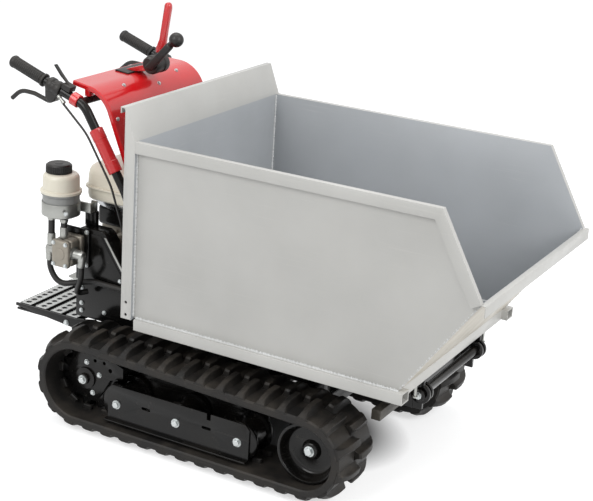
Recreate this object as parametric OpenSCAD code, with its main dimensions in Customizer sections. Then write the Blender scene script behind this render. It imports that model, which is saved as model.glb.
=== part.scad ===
// Tracked mini dumper: a walk-behind carrier on rubber tracks with a skip that a hydraulic cylinder
// tips forward over the front pivot. Millimetres, +X towards the spout, +Y to the driver's left,
// +Z up, ground at Z = 0. Lengths along X in the sizes below start at the rear end of the skip rails.

/* [Skip] */
// Outside width over the rails and the rim
skip_width = 720; // [600:10:900]
// Length of the two rails under the floor
rail_length = 772; // [600:2:1000]
// Width of a rail
rail_width = 40; // [30:1:60]
// Height of a rail
rail_height = 30; // [20:1:50]
// Wall of the rails and the sub-frame tubes
rail_wall = 3; // [2:0.5:5]
// Height of the rails' underside over the ground
rail_ground = 325; // [300:1:380]
// Thickness of the sheet metal
sheet = 3; // [2:0.5:5]
// Height of the rim over the ground
rim_height = 829; // [700:1:950]
// Front end of the rim
rim_front = 829; // [700:1:950]
// Front edge of the chute
spout_front = 944; // [850:1:1100]
// Height of the chute's front edge over the ground
spout_height = 623; // [500:1:750]
// How far the side panels lie behind the rim's outside
panel_recess = 12; // [6:1:20]
// Height of the folded rim
rim_fold = 30; // [15:1:45]
// Depth of the folded lip on the chute
lip_depth = 12; // [8:1:25]
// Depth of the rear wall's side flanges
flange_depth = 32; // [20:1:50]
// Height of the rear board over the rim
board_rise = 83; // [40:1:140]
// Radius of the fixing holes in the rear flanges
flange_hole = 4.25; // [3:0.25:6]
// Distance between the two fixing holes
flange_hole_pitch = 34; // [20:1:60]

/* [Tipping] */
// Pivot's distance from the rear end of the rails
pivot_x = 745; // [700:1:760]
// Pivot's height over the ground
pivot_z = 285; // [270:1:295]
// Radius of the pivot shaft
pivot_radius = 12; // [8:0.5:16]
// Running clearance on the radius of the pins
pin_clearance = 0.05; // [0.02:0.01:0.1]
// Position of the rod's eye along the skip
eye_x = 600; // [560:1:640]
// Height of the rod's eye over the ground
eye_z = 298; // [285:1:300]
// Position of the cylinder's rear pin
anchor_x = 150; // [100:1:220]
// Height of the cylinder's rear pin
anchor_z = 130; // [110:1:160]
// Radius of the cylinder's pins
cylinder_pin = 10; // [8:0.5:12]
// Outside radius of the cylinder's barrel
barrel_radius = 28; // [22:1:32]
// Radius of the piston rod
rod_radius = 15; // [10:0.5:18]
// Travel of the piston rod
rod_travel = 167; // [140:1:180]

/* [Tracks] */
// Overall width over the tracks
track_overall = 790; // [740:2:860]
// Width of a track
track_width = 180; // [150:2:230]
// Gap between the chassis rails and the tracks
frame_gap = 45; // [30:1:60]
// Width of a chassis rail
frame_rail = 40; // [30:1:60]
// Gap between the side plates under the deck and the tracks
plate_gap = 15; // [10:1:20]
// Width of the flange that carries the deck on a side plate
plate_flange = 70; // [40:1:80]
// Thickness of the belt
belt = 24; // [16:1:30]
// Height of the lugs over the belt
lug = 20; // [10:1:28]
// Length of a lug along the belt
lug_length = 28; // [18:1:29]
// Lugs in one row around a track
lug_count = 34; // [28:2:40]
// Sprocket's position
sprocket_x = -162; // [-180:1:-150]
// Sprocket's belt radius
sprocket_radius = 96; // [85:1:105]
// Idler's position
idler_x = 530; // [500:1:560]
// Idler's belt radius
idler_radius = 84; // [75:1:95]
// Teeth on the sprocket
sprocket_teeth = 11; // [9:1:13]
// Radius of the bottom rollers
roller_radius = 54; // [45:1:60]
// First bottom roller
roller_first = -48; // [-60:1:-30]
// Distance between the bottom rollers
roller_pitch = 188; // [170:1:200]

/* [Rear end] */
// Height of the engine deck's underside
deck_height = 352; // [345:1:360]
// Half the width of the engine deck without its overhang at each side
deck_half = 200; // [180:1:208]
// Rear end of the foot platform
platform_rear = -512; // [-560:1:-480]
// Height of the foot platform
platform_height = 232; // [210:1:250]
// Half the distance between the handles
handle_half = 250; // [220:1:280]
// Radius of the handle tubes
handle_tube = 12.5; // [10:0.5:16]
// Height of the grips' ends over the ground
grip_height = 942; // [880:1:1000]
// Rear end of the handle tubes
grip_rear = -478; // [-500:1:-440]
// Half the width of the console cover
console_half = 225; // [180:1:232]
// Rear end of the fuel tank
tank_rear = -306; // [-312:1:-290]
// Length of the fuel tank
tank_length = 173; // [150:1:180]
// Right side of the fuel tank
tank_side = -172; // [-174:1:-150]
// Width of the fuel tank
tank_width = 310; // [280:1:330]
// Radius of the fluid reservoir
reservoir_radius = 50; // [40:1:55]

/* [Hidden] */
$fn = 48;

middle_x = (spout_front + lip_depth + platform_rear) / 2;
half = skip_width / 2;
panel_out = half - panel_recess;
panel_in = panel_out - sheet;
floor_z = rail_ground + rail_height;
wall_x = -8;
chute_x = rail_length - 17;
flange_x = wall_x - flange_depth;
board_top = rim_height + board_rise;
tip_belt = belt + lug;
sprocket_z = sprocket_radius + tip_belt;
idler_z = idler_radius + tip_belt;
roller_z = roller_radius + tip_belt;
track_y = (track_overall - track_width) / 2;
track_in = track_overall / 2 - track_width;
frame_half = track_in - frame_gap;
frame_in = frame_half - frame_rail;
plate_half = track_in - plate_gap;
gearbox_half = frame_in - 25;
cylinder_angle = atan2(eye_z - anchor_z, eye_x - anchor_x);
cylinder_length = norm([eye_x - anchor_x, eye_z - anchor_z]);
gland = cylinder_length - 62;
paint_grey = [0.72, 0.71, 0.69];
paint_black = [0.05, 0.05, 0.05];
paint_red = [0.75, 0.06, 0.06];
zinc = [0.75, 0.75, 0.73];
rubber = [0.08, 0.08, 0.08];
cream = [0.86, 0.83, 0.75];
alloy = [0.62, 0.60, 0.56];

// Everything is centred on the object's own length.
module placed() {
    translate([-middle_x, 0, 0]) children();
}

// A plate of a side outline, between two distances across.
module plate(low, high) {
    translate([0, high, 0]) rotate([90, 0, 0]) linear_extrude(high - low) children();
}

module both_sides() {
    children();
    mirror([0, 1, 0]) children();
}

module block(low, high) {
    translate(low) cube(high - low);
}

module bar(from, to, r) {
    d = to - from;
    translate(from) rotate([0, acos(d[2] / norm(d)), atan2(d[1], d[0])]) cylinder(h = norm(d), r = r);
}

// A round bar through a row of points, with a ball at each corner.
module bent_bar(points, r) {
    for (i = [0 : len(points) - 2]) bar(points[i], points[i + 1], r);
    for (i = [1 : len(points) - 2]) translate(points[i]) sphere(r + 0.4);
}

// A ball on a round stem, turned about its own axis.
module knob(r, stem_r, stem) {
    rotate_extrude() intersection() {
        union() {
            circle(r = r);
            translate([0, -stem]) square([stem_r, stem]);
        }
        translate([0, -stem]) square([r, stem + r]);
    }
}

// A rectangle with round corners.
module soft_rectangle(low, high, r) {
    translate(low + [r, 0]) square(high - low - [2 * r, 0]);
    translate(low + [0, r]) square(high - low - [0, 2 * r]);
    for (x = [low[0] + r, high[0] - r], y = [low[1] + r, high[1] - r]) translate([x, y]) circle(r = r);
}

// A wheel turned about the Y axis at the middle of the right track, outer face towards -Y.
module wheel(x, z, profile) {
    translate([x, -track_y, z]) rotate([90, 0, 0]) rotate_extrude($fn = 64) polygon(profile);
}

module pin(x, z, low, high, r) {
    translate([x, high, z]) rotate([90, 0, 0]) cylinder(h = high - low, r = r);
}

// Points of the rim's outline, moved in by a distance.
rim_run = [spout_front - rim_front, spout_height - rim_height] / norm([spout_front - rim_front,
    spout_height - rim_height]);
rim_in = [rim_run[1], -rim_run[0]];
function rim_corner(d) = [rim_front + d * (rim_in[0] - rim_run[0] * (1 + rim_in[1]) / rim_run[1]),
    rim_height - d];
function rim_end(d) = [spout_front, spout_height] + rim_in * d;
function rim_band(d) = [[wall_x, rim_height], [rim_front, rim_height], [spout_front, spout_height],
    rim_end(d), rim_corner(d), [wall_x, rim_height - d]];

module side_panel() {
    plate(-panel_out, -panel_in) polygon([[wall_x, floor_z], [chute_x, floor_z],
        [spout_front, spout_height], [rim_front, rim_height], [wall_x, rim_height]]);
    plate(-half, -half + sheet) polygon(rim_band(rim_fold));
    plate(-half, -panel_out) polygon(rim_band(sheet));
}

module skip_side_right() color(paint_grey) placed() side_panel();

module skip_side_left() color(paint_grey) placed() mirror([0, 1, 0]) side_panel();

module skip_floor() color(paint_grey) placed() {
    lip_end = [spout_front + lip_depth, spout_height];
    plate(-panel_in, panel_in) polygon([[wall_x, floor_z], [chute_x, floor_z],
        [spout_front, spout_height], [spout_front - sheet, spout_height],
        [chute_x - sheet / 2, floor_z + sheet], [wall_x, floor_z + sheet]]);
    plate(-half, half) polygon([[spout_front, spout_height], lip_end, lip_end - [0, rim_fold],
        lip_end - [sheet, rim_fold], lip_end - [sheet, sheet], [spout_front, spout_height - sheet]]);
    block([spout_front - sheet, -panel_in, spout_height - sheet],
        [spout_front + 2, panel_in, spout_height]);
}

module skip_rear_wall() color(paint_grey) placed() {
    difference() {
        union() {
            block([wall_x - sheet, -half, rail_ground + 26], [wall_x, half, rim_height]);
            both_sides() plate(-half, -half + sheet)
                polygon([[flange_x, rail_ground + 26], [wall_x, rail_ground + 26], [wall_x, rim_height],
                [flange_x, board_top]]);
            plate(-half, half) polygon([[wall_x - sheet, rim_height], [wall_x, rim_height],
                [flange_x, board_top], [flange_x - 14, board_top], [flange_x - 14, board_top - 16],
                [flange_x - 11, board_top - 16], [flange_x - 11, board_top - sheet],
                [flange_x - 2, board_top - sheet]]);
        }
        for (i = [0, 1]) pin(flange_x + 15, rail_ground + 38 + i * flange_hole_pitch, -half - 1, half + 1,
            flange_hole);
    }
}

module box_tube(low, high, along) {
    w = [rail_wall, rail_wall, rail_wall] - along * rail_wall;
    difference() {
        block(low, high);
        block(low + w - along, high - w + along);
    }
}

module skip_rails() color(paint_grey) placed() both_sides() {
    box_tube([0, -half, rail_ground], [rail_length, -half + rail_width, floor_z], [1, 0, 0]);
}

module skip_cross_tubes() color(paint_grey) placed() {
    for (x = [40, 300, eye_x, pivot_x - 10]) {
        box_tube([x - 20, -half + rail_width, rail_ground], [x + 20, half - rail_width, floor_z],
            [0, 1, 0]);
    }
}

module skip_hinge_lugs() color(paint_grey) placed() both_sides() difference() {
    union() {
        block([pivot_x - 25, frame_half + 6, pivot_z], [pivot_x + 8, frame_half + 16, rail_ground]);
        pin(pivot_x, pivot_z, frame_half + 6, frame_half + 16, 26);
    }
    pin(pivot_x, pivot_z, frame_half, frame_half + 20, pivot_radius + pin_clearance);
}

module skip_eye_bracket() color(paint_grey) placed() both_sides() {
    block([eye_x - 18, 32, eye_z], [eye_x + 18, 40, rail_ground]);
    pin(eye_x, eye_z, 32, 40, 18);
    pin(eye_x, eye_z, 40, 46, cylinder_pin);
}

module on_cylinder() {
    translate([anchor_x, 0, anchor_z]) rotate([0, -cylinder_angle, 0]) children();
}

module cylinder_barrel() color(paint_black) placed() on_cylinder() difference() {
    union() {
        rotate([90, 0, 0]) cylinder(h = 40, r = 24, center = true);
        rotate([0, 90, 0]) cylinder(h = gland, r = barrel_radius);
        translate([gland - 30, 0, 0]) rotate([0, 90, 0]) cylinder(h = 30, r = barrel_radius + 3);
        translate([70, 0, 0]) cylinder(h = barrel_radius + 10, r = 9);
    }
    rotate([90, 0, 0]) cylinder(h = 80, r = cylinder_pin + pin_clearance, center = true);
    translate([gland - rod_travel - 70, 0, 0]) rotate([0, 90, 0])
        cylinder(h = rod_travel + 71, r = rod_radius + pin_clearance);
}

module cylinder_rod() color(zinc) placed() on_cylinder() {
    translate([gland - rod_travel - 60, 0, 0]) rotate([0, 90, 0])
        cylinder(h = rod_travel + 60 + 50, r = rod_radius);
    translate([cylinder_length, 0, 0]) rotate([90, 0, 0]) cylinder(h = 32, r = 22, center = true);
    translate([cylinder_length, 0, 0]) rotate([90, 0, 0])
        cylinder(h = 50, r = cylinder_pin, center = true);
}

module chassis_frame() color(paint_black) placed() {
    both_sides() difference() {
        union() {
            block([-300, frame_in, 235], [pivot_x - 25, frame_half, 295]);
            block([pivot_x - 25, frame_half - 12, 235], [pivot_x, frame_half - 2, 295]);
            pin(pivot_x, pivot_z, frame_half - 12, frame_half - 2, 25);
            for (x = [330, 20]) block([x, frame_in + 5, 295], [x + 60, frame_half - 5, 318]);
        }
        pin(pivot_x, pivot_z, frame_half - 20, frame_half + 10, pivot_radius + pin_clearance);
    }
    block([90, -track_in - 5, 175], [150, track_in + 5, 205]);
    block([90, -frame_half, 205], [150, frame_half, 235]);
    block([420, -track_in - 5, 140], [470, track_in + 5, 185]);
    both_sides() block([420, frame_in, 185], [470, frame_half, 235]);
    block([-200, -frame_in, 250], [-150, frame_in, 290]);
    block([-300, -frame_in, 250], [-270, frame_in, 290]);
    block([pivot_x - 60, -frame_in, 240], [pivot_x - 30, frame_in, 290]);
}

module front_beam() color(paint_grey) placed() {
    box_tube([628, -track_in + 5, 193], [654, track_in - 5, 221], [0, 1, 0]);
    both_sides() block([632, frame_in + 10, 221], [650, frame_in + 30, 235]);
}

module pivot_shaft() color(zinc) placed() {
    pin(pivot_x, pivot_z, -frame_half - 26, frame_half + 26, pivot_radius);
    both_sides() pin(pivot_x, pivot_z, frame_half + 22, frame_half + 28, pivot_radius + 5);
}

module cylinder_anchor() color(paint_black) placed() {
    both_sides() difference() {
        union() {
            block([anchor_x - 40, 33, anchor_z], [anchor_x + 22, 41, 175]);
            pin(anchor_x, anchor_z, 33, 41, 22);
        }
        pin(anchor_x, anchor_z, 30, 45, cylinder_pin);
    }
    pin(anchor_x, anchor_z, -46, 46, cylinder_pin);
}

module engine_deck() color(zinc) placed() {
    block([-325, -deck_half - 8, deck_height], [-62, deck_half + 8, deck_height + 6]);
}

module deck_side_plates() color(paint_black) placed() both_sides() {
    block([-304, plate_half - 6, 244], [-62, plate_half, deck_height]);
    block([-304, plate_half - plate_flange, deck_height - 6], [-62, plate_half, deck_height]);
    for (x = [-290, -110]) block([x, frame_half, 250], [x + 20, plate_half - 6, 290]);
}

module belt_cover() color(paint_black) placed() {
    plate(-deck_half - 10, -deck_half + 34)
        polygon([[-296, deck_height + 6], [-296, 490], [-291, 503], [-278, 511], [-210, 511], [-198, 503],
        [-124, 399], [-120, 388], [-120, deck_height + 6]]);
    plate(-deck_half - 14, -deck_half - 10)
        polygon([[-286, deck_height + 16], [-286, 487], [-274, 501], [-212, 501], [-204, 495],
        [-132, 392], [-132, deck_height + 16]]);
}

module gearbox() color(paint_black) placed() {
    plate(-gearbox_half, gearbox_half) soft_rectangle([-262, 112], [-72, 250], 24);
    plate(-8, 8) soft_rectangle([-270, 104], [-64, 246], 30);
}

module axle_housings() color(paint_black) placed() both_sides() {
    pin(sprocket_x, sprocket_z, gearbox_half, track_y - 25, 30);
    pin(sprocket_x, sprocket_z, gearbox_half, gearbox_half + 20, 46);
}

module engine_crankcase() color(alloy) placed() {
    plate(-110, 60) soft_rectangle([-290, deck_height + 6], [-120, 500], 16);
    for (x = [-250, -160]) block([x - 4, -116, 380], [x + 4, -110, 480]);
    pin(-205, 440, -166, -110, 34);
}

module engine_cylinder() color(alloy) placed() {
    for (i = [0 : 5]) block([-120 + i * 9, -90, 380], [-115 + i * 9, 40, 500]);
    block([-120, -60, 400], [-70, 10, 500]);
}

module engine_shroud() color(paint_black) placed() {
    plate(60, 130) soft_rectangle([-290, 370], [-158, 560], 22);
    translate([-205, 130, 450]) rotate([-90, 0, 0]) difference() {
        rotate_extrude() polygon([[0, 0], [85, 0], [85, 16], [78, 26], [44, 30], [40, 35], [0, 35]]);
        for (i = [0 : 11]) rotate(i * 30) block([50, -4, 20], [74, 4, 40]);
    }
}

module tank_layer(low, high, inset) {
    translate([0, 0, low]) linear_extrude(high - low)
        soft_rectangle([tank_rear + inset, tank_side + inset],
            [tank_rear + tank_length - inset, tank_side + tank_width - inset], 30);
}

module fuel_tank() color(cream) placed() {
    tank_layer(575, 582, 6);
    tank_layer(582, 611, 0);
    tank_layer(611, 617, -6);
    tank_layer(617, 664, 0);
    tank_layer(664, 673, 7);
    tank_layer(673, 679, 16);
    block([-240, -140, 500], [-160, 60, 575]);
    translate([tank_rear + tank_length / 2, tank_side + 205, 679]) rotate_extrude()
        polygon([[0, 0], [31, 0], [28, 6], [27, 17], [20, 22], [0, 22]]);
}

module muffler() color(zinc) placed() difference() {
    block([-155, -150, 500], [-75, -20, 570]);
    for (i = [0 : 9]) block([-80, -143 + i * 12, 508], [-74, -136 + i * 12, 562]);
    for (i = [0 : 9]) block([-147, -143 + i * 12, 565], [-83, -136 + i * 12, 571]);
    for (i = [0 : 4]) block([-147 + i * 13, -151, 508], [-139 + i * 13, -145, 562]);
}

module air_cleaner() color(paint_black) placed() {
    translate([0, 0, 500]) linear_extrude(50) soft_rectangle([-152, 3], [-78, 127], 14);
    translate([0, 0, 550]) linear_extrude(16) soft_rectangle([-155, 0], [-75, 130], 17);
    translate([-115, 65, 566]) cylinder(h = 4, r = 14);
}

reservoir_x = -322;
reservoir_y = -248;

module reservoir_top() color(cream) placed() translate([reservoir_x, reservoir_y, 611]) {
    r = reservoir_radius;
    rotate_extrude() polygon([[0, 0], [r + 4, 0], [r + 6, 2], [r + 6, 6], [r + 4, 8], [r, 9], [r - 1, 34],
        [r - 5, 42], [r - 10, 48], [0, 48]]);
    translate([-8, 0, 48]) cylinder(h = 6, r = 30);
}

module reservoir_base() color(zinc) placed() translate([reservoir_x, reservoir_y, 545]) {
    r = reservoir_radius;
    rotate_extrude() polygon([[0, 0], [r - 8, 0], [r - 3, 2], [r, 5], [r, 60], [r + 4, 62], [r + 4, 66],
        [0, 66]]);
}

module reservoir_cap() color(paint_black) placed() translate([reservoir_x - 8, reservoir_y, 665]) {
    rotate_extrude() polygon([[0, 0], [33, 0], [33, 21], [28, 25], [12, 25], [10, 22], [0, 22]]);
    linear_extrude(20) for (i = [0 : 19]) rotate(i * 18) translate([30, -2.5]) square([5, 5]);
}

module reservoir_bracket() color(zinc) placed() difference() {
    union() {
        translate([reservoir_x, reservoir_y, 550]) cylinder(h = 36, r = reservoir_radius + 2.5);
        block([reservoir_x + 20, reservoir_y + 35, 555], [reservoir_x + 72, reservoir_y + 41, 582]);
        block([reservoir_x + 66, reservoir_y + 41, 555], [reservoir_x + 72, -deck_half + 20, 582]);
        block([reservoir_x + 54, -deck_half + 14, 511], [reservoir_x + 72, -deck_half + 20, 582]);
    }
    translate([reservoir_x, reservoir_y, 500]) cylinder(h = 90, r = reservoir_radius + 0.3);
}

pump_x = -290;
pump_z = 452;

module gear_pump() color(alloy) placed() {
    plate(-deck_half - 24, -deck_half - 14)
        soft_rectangle([pump_x - 40, pump_z - 50], [pump_x + 44, pump_z + 58], 12);
    plate(-deck_half - 42, -deck_half - 24)
        soft_rectangle([pump_x - 32, pump_z - 42], [pump_x + 32, pump_z + 42], 28);
    plate(-deck_half - 78, -deck_half - 42)
        soft_rectangle([pump_x - 28, pump_z - 38], [pump_x + 28, pump_z + 38], 20);
    plate(-deck_half - 96, -deck_half - 78)
        soft_rectangle([pump_x - 28, pump_z - 38], [pump_x + 28, pump_z + 38], 12);
}

module pump_fittings() color(zinc) placed() {
    translate([pump_x + 28, -deck_half - 68, pump_z]) rotate([0, 90, 0]) cylinder(h = 34, r = 13);
    translate([pump_x - 28, -deck_half - 68, pump_z]) rotate([0, -90, 0]) cylinder(h = 34, r = 13);
}

module hydraulic_hoses() color(rubber) placed() {
    y = -deck_half - 68;
    bent_bar([[pump_x + 52, y, pump_z - 13], [pump_x + 50, y, pump_z - 60],
        [pump_x + 25, y + 20, pump_z - 120], [pump_x + 40, -deck_half - 20, deck_height - 20]], 8);
    bent_bar([[pump_x - 52, y, pump_z - 13], [pump_x - 52, y, pump_z - 60], [pump_x - 20, y, pump_z - 96],
        [pump_x + 60, -deck_half - 24, deck_height + 14], [-100, -deck_half - 18, deck_height + 10]], 8);
    bar([pump_x - 48, y, 544.95], [pump_x - 48, y, pump_z + 13.05], 9);
    bar([pump_x - 6, y, 544.95], [pump_x - 6, y, pump_z + 38.05], 9);
}

module platform_slats() color(zinc) placed() {
    reach = plate_half - 4;
    holes = floor((reach - 12) / 24 + 0.5);
    for (i = [0 : 3]) translate([platform_rear + 8 + i * 54, 0, platform_height - 16]) difference() {
        block([0, -reach, 0], [38, reach, 16]);
        block([3, -reach - 1, -1], [35, reach + 1, 13]);
        for (k = [-holes : holes - 1]) translate([19, k * 24 + 12, 0]) cylinder(h = 20, r = 8, $fn = 24);
    }
}

module platform_sides() color(paint_black) placed() both_sides() {
    plate(-plate_half - 6, -plate_half) polygon([[platform_rear, platform_height],
        [platform_rear, platform_height - 8], [platform_rear + 240, 200], [platform_rear + 280, 200],
        [platform_rear + 280, platform_height + 14], [platform_rear + 210, platform_height]]);
    block([platform_rear, -plate_half, platform_height - 22],
        [platform_rear + 225, -plate_half + 24, platform_height - 16]);
}

handle_low = [-88, -190, deck_height + 6];
handle_knee = [-108, -handle_half, 645];
handle_bend = [-248, -handle_half, 863];
handle_end = [grip_rear, -handle_half, grip_height];
function along(p, q, d) = p + (q - p) * d / norm(q - p);

module handle_tubes() color(paint_black) placed() {
    both_sides() {
        bent_bar([handle_end, handle_bend, handle_knee, [-94, -230, 560], handle_low + [0, 0, 4]],
            handle_tube);
        translate(handle_low) cylinder(h = 6, r = 24);
    }
    bar([-262, -handle_half, 868], [-262, handle_half, 868], 10);
}

module handle_sleeves() color(paint_red) placed() both_sides() difference() {
    bar(along(handle_bend, handle_knee, 70), along(handle_bend, handle_knee, 195), 19);
    bar(along(handle_bend, handle_knee, 60), along(handle_bend, handle_knee, 205), handle_tube + 0.3);
}

module handle_grips() color(rubber) placed() both_sides() difference() {
    union() {
        bar(along(handle_end, handle_bend, -10), along(handle_end, handle_bend, 108), 15);
        bar(along(handle_end, handle_bend, -8), along(handle_end, handle_bend, 4), 17.5);
        for (d = [12 : 11 : 89]) bar(along(handle_end, handle_bend, d),
            along(handle_end, handle_bend, d + 5), 16.2);
        bar(along(handle_end, handle_bend, 100), along(handle_end, handle_bend, 108), 19);
    }
    bar(handle_end, along(handle_end, handle_bend, 130), handle_tube + 0.3);
}

module clutch_levers() color(paint_black) placed() both_sides() {
    grip_dir = (handle_bend - handle_end) / norm(handle_bend - handle_end);
    difference() {
        bar(handle_end + grip_dir * 122, handle_end + grip_dir * 165, 21);
        bar(handle_end + grip_dir * 110, handle_end + grip_dir * 180, handle_tube + 0.3);
    }
    bent_bar([handle_end + grip_dir * 145 + [0, 0, -18], handle_end + grip_dir * 128 + [0, 0, -50],
        handle_end + grip_dir * 70 + [0, 0, -52], handle_end + [-8, 0, -100]], 6);
}

module throttle_lever() color(paint_black) placed() {
    slope = atan2(handle_end[2] - handle_bend[2], handle_bend[0] - handle_end[0]);
    translate(along(handle_end, handle_bend, 182)) rotate([0, slope, 0]) {
        block([-14, -14, handle_tube + 0.05], [14, 14, 28]);
        plate(-4, 4) polygon([[-6, 27], [6, 27], [-28, 44], [-56, 60], [-62, 55], [-32, 37]]);
    }
}

// The console sheet runs down from its rear edge, round one bend and on to its foot.
console_top = [-312, 913];
console_fall = 4.33;
console_slope = 69.8;
console_bend = 93;
console_up = [sin(console_fall), cos(console_fall)];
console_out = [sin(console_slope), cos(console_slope)];
console_start = console_top + 53.6 * [cos(console_fall), -sin(console_fall)];
console_middle = console_start - console_bend * console_up;
console_end = console_middle + console_bend * console_out;
console_lap = [cos(console_fall), -sin(console_fall)];
console_rise = [cos(console_slope), -sin(console_slope)];
console_foot = console_end + 168 * [cos(console_slope), -sin(console_slope)];

module console_cover() color(paint_red) placed() {
    plate(-console_half, console_half) {
        polygon([console_top, console_start, console_start + console_lap - 3 * console_up,
            console_top - 3 * console_up]);
        polygon([console_end, console_foot, console_foot - 3 * console_out,
            console_end - console_rise - 3 * console_out]);
        intersection() {
            translate(console_middle) difference() {
                circle(r = console_bend, $fn = 96);
                circle(r = console_bend - 3, $fn = 96);
            }
            polygon([console_middle, console_middle + 200 * console_up,
                console_middle + 200 * (console_up + console_out), console_middle + 200 * console_out]);
        }
    }
    both_sides() block([-270, -console_half + 5, 878], [-254, -console_half + 25, 906.4]);
}

module lever_bracket() color(paint_black) placed() {
    seat = console_top + 10 * [cos(console_fall), -sin(console_fall)] + 0.05 * console_up;
    edge = console_start + 0.05 * console_up;
    plate(-40, 80) polygon([seat, edge, edge + 4 * console_up, seat + 4 * console_up]);
    plate(-10, 30) polygon([edge + 3 * console_up - [30, 0], edge + 3 * console_up, [-210, 922],
        [-200, 930], [-220, 938]]);
    pin(-200, 940, -20, 40, 26);
}

module drive_lever() color(paint_red) placed() {
    plate(22, 38) polygon([[-214, 966.2], [-190, 966.2], [-186, 1000], [-171, 1096], [-175, 1108],
        [-186, 1108], [-191, 1098], [-198, 1004], [-214, 984]]);
}

module gear_lever() color(paint_black) placed() {
    plate(-31, -21) polygon([[-210, 936], [-192, 930], [-128, 1002], [-138, 1012]]);
    translate([-115, -26, 1023]) rotate([0, 48, 0]) knob(20, 9, 30);
    pin(-200, 945, -34, -20, 18);
}

module control_cables() color(rubber) placed() both_sides() {
    bent_bar([[-340, -handle_half - 4, 852], [-222, -handle_half - 23.5, 795],
        [-140, -handle_half - 23.5, 667], [-112, -handle_half - 12, 560], [-112, -205, deck_height + 6]],
        3);
}

// The loop a belt follows round the sprocket, the bottom run and the idler, sampled by arc length.
wheels_d = norm([idler_x - sprocket_x, idler_z - sprocket_z]);
tilt = asin((idler_z - sprocket_z) / wheels_d);
lean = asin((sprocket_radius - idler_radius) / wheels_d);
top_turn = 90 - lean + tilt;
function loop_lengths(d) = [rad_of(sprocket_radius + d, 270 - top_turn), wheels_d * cos(lean),
    rad_of(idler_radius + d, top_turn + 90), idler_x - sprocket_x];
function rad_of(r, a) = r * a * PI / 180;
function loop_total(d) = loop_lengths(d)[0] + loop_lengths(d)[1] + loop_lengths(d)[2] + loop_lengths(d)[3];
// Position and heading at a length s along the middle of the belt, from the bottom of the sprocket.
function loop_at(s, d) = let (n = loop_lengths(belt / 2))
    s < n[0] ? arc_at(sprocket_x, sprocket_z, sprocket_radius + d, 270 - (270 - top_turn) * s / n[0])
    : s < n[0] + n[1] ? run_at((s - n[0]) / n[1], d)
    : s < n[0] + n[1] + n[2] ? arc_at(idler_x, idler_z, idler_radius + d,
    top_turn - (top_turn + 90) * (s - n[0] - n[1]) / n[2])
    : [idler_x - (s - n[0] - n[1] - n[2]), idler_z - idler_radius - d, 270];
function arc_at(x, z, r, a) = [x + r * cos(a), z + r * sin(a), a];
function run_at(t, d) = let (p = arc_at(sprocket_x, sprocket_z, sprocket_radius + d, top_turn),
    q = arc_at(idler_x, idler_z, idler_radius + d, top_turn))
    [p[0] + (q[0] - p[0]) * t, p[1] + (q[1] - p[1]) * t, top_turn];
loop_length = loop_total(belt / 2);
pitch = loop_length / lug_count;
steps = lug_count * 4;
function loop_points(d) = [for (i = [0 : steps - 1]) let (p = loop_at(i * loop_length / steps, d))
    [p[0], p[1]]];

// Tapered lugs that slope down to the belt's edge, set round the loop from a share of the pitch.
module lug_row(phase, inner, outer) {
    for (i = [0 : lug_count - 1]) {
        p = loop_at((i + phase) * pitch, belt - 3);
        translate([p[0], 0, p[1]]) rotate([0, -p[2] + 90, 0]) intersection() {
            translate([-lug_length / 2, 0, 0]) rotate([90, 0, 90]) linear_extrude(lug_length)
                polygon([[inner, 0], [outer, 0], [outer, 4], [outer - 30, lug + 3], [inner, lug + 3]]);
            plate(inner - 1, outer + 1) polygon([[-lug_length / 2, -1], [lug_length / 2, -1],
                [lug_length / 2 - 4, lug + 4], [4 - lug_length / 2, lug + 4]]);
        }
    }
}

module track() {
    plate(track_y - track_width / 2, track_y + track_width / 2) difference() {
        polygon(loop_points(belt));
        polygon(loop_points(0));
    }
    translate([0, track_y, 0]) lug_row(0.25, -6, track_width / 2 - 4);
    translate([0, track_y, 0]) mirror([0, 1, 0]) lug_row(0.75, -6, track_width / 2 - 4);
}

module track_left() color(rubber) placed() track();

module track_right() color(rubber) placed() mirror([0, 1, 0]) track();

module sprockets() color(paint_black) placed() both_sides() {
    translate([sprocket_x, 0, sprocket_z]) plate(-track_y - 16, -track_y + 16) difference() {
        union() {
            circle(r = sprocket_radius - 22);
            for (i = [0 : sprocket_teeth - 1]) rotate(i * 360 / sprocket_teeth)
                polygon([[sprocket_radius - 30, -15], [sprocket_radius - 4, -10],
                [sprocket_radius - 4, 10], [sprocket_radius - 30, 15]]);
        }
        circle(r = 20);
        for (i = [0 : 4]) rotate(i * 72 + 18) translate([48, 0]) circle(r = 11);
    }
}

module idlers() color(paint_black) placed() both_sides() {
    r = idler_radius - 1;
    wheel(idler_x, idler_z, [[0, -60], [r - 4, -60], [r, -56], [r, 56], [r - 4, 60], [r - 8, 60],
        [r - 11, 52], [r - 17, 31], [r - 25, 25], [30, 25], [24, 31], [20, 40], [0, 40]]);
}

module rollers() color(paint_black) placed() both_sides() {
    r = roller_radius - 1;
    for (i = [0 : 2]) wheel(roller_first + i * roller_pitch, roller_z,
        [[0, -45], [r - 7, -45], [r, -40], [r, -33], [r - 11, -29], [r - 13, -24], [26, -19], [26, 19],
        [r - 13, 24], [r - 11, 29], [r, 33], [r, 40], [r - 7, 45], [0, 45]]);
}

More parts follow.
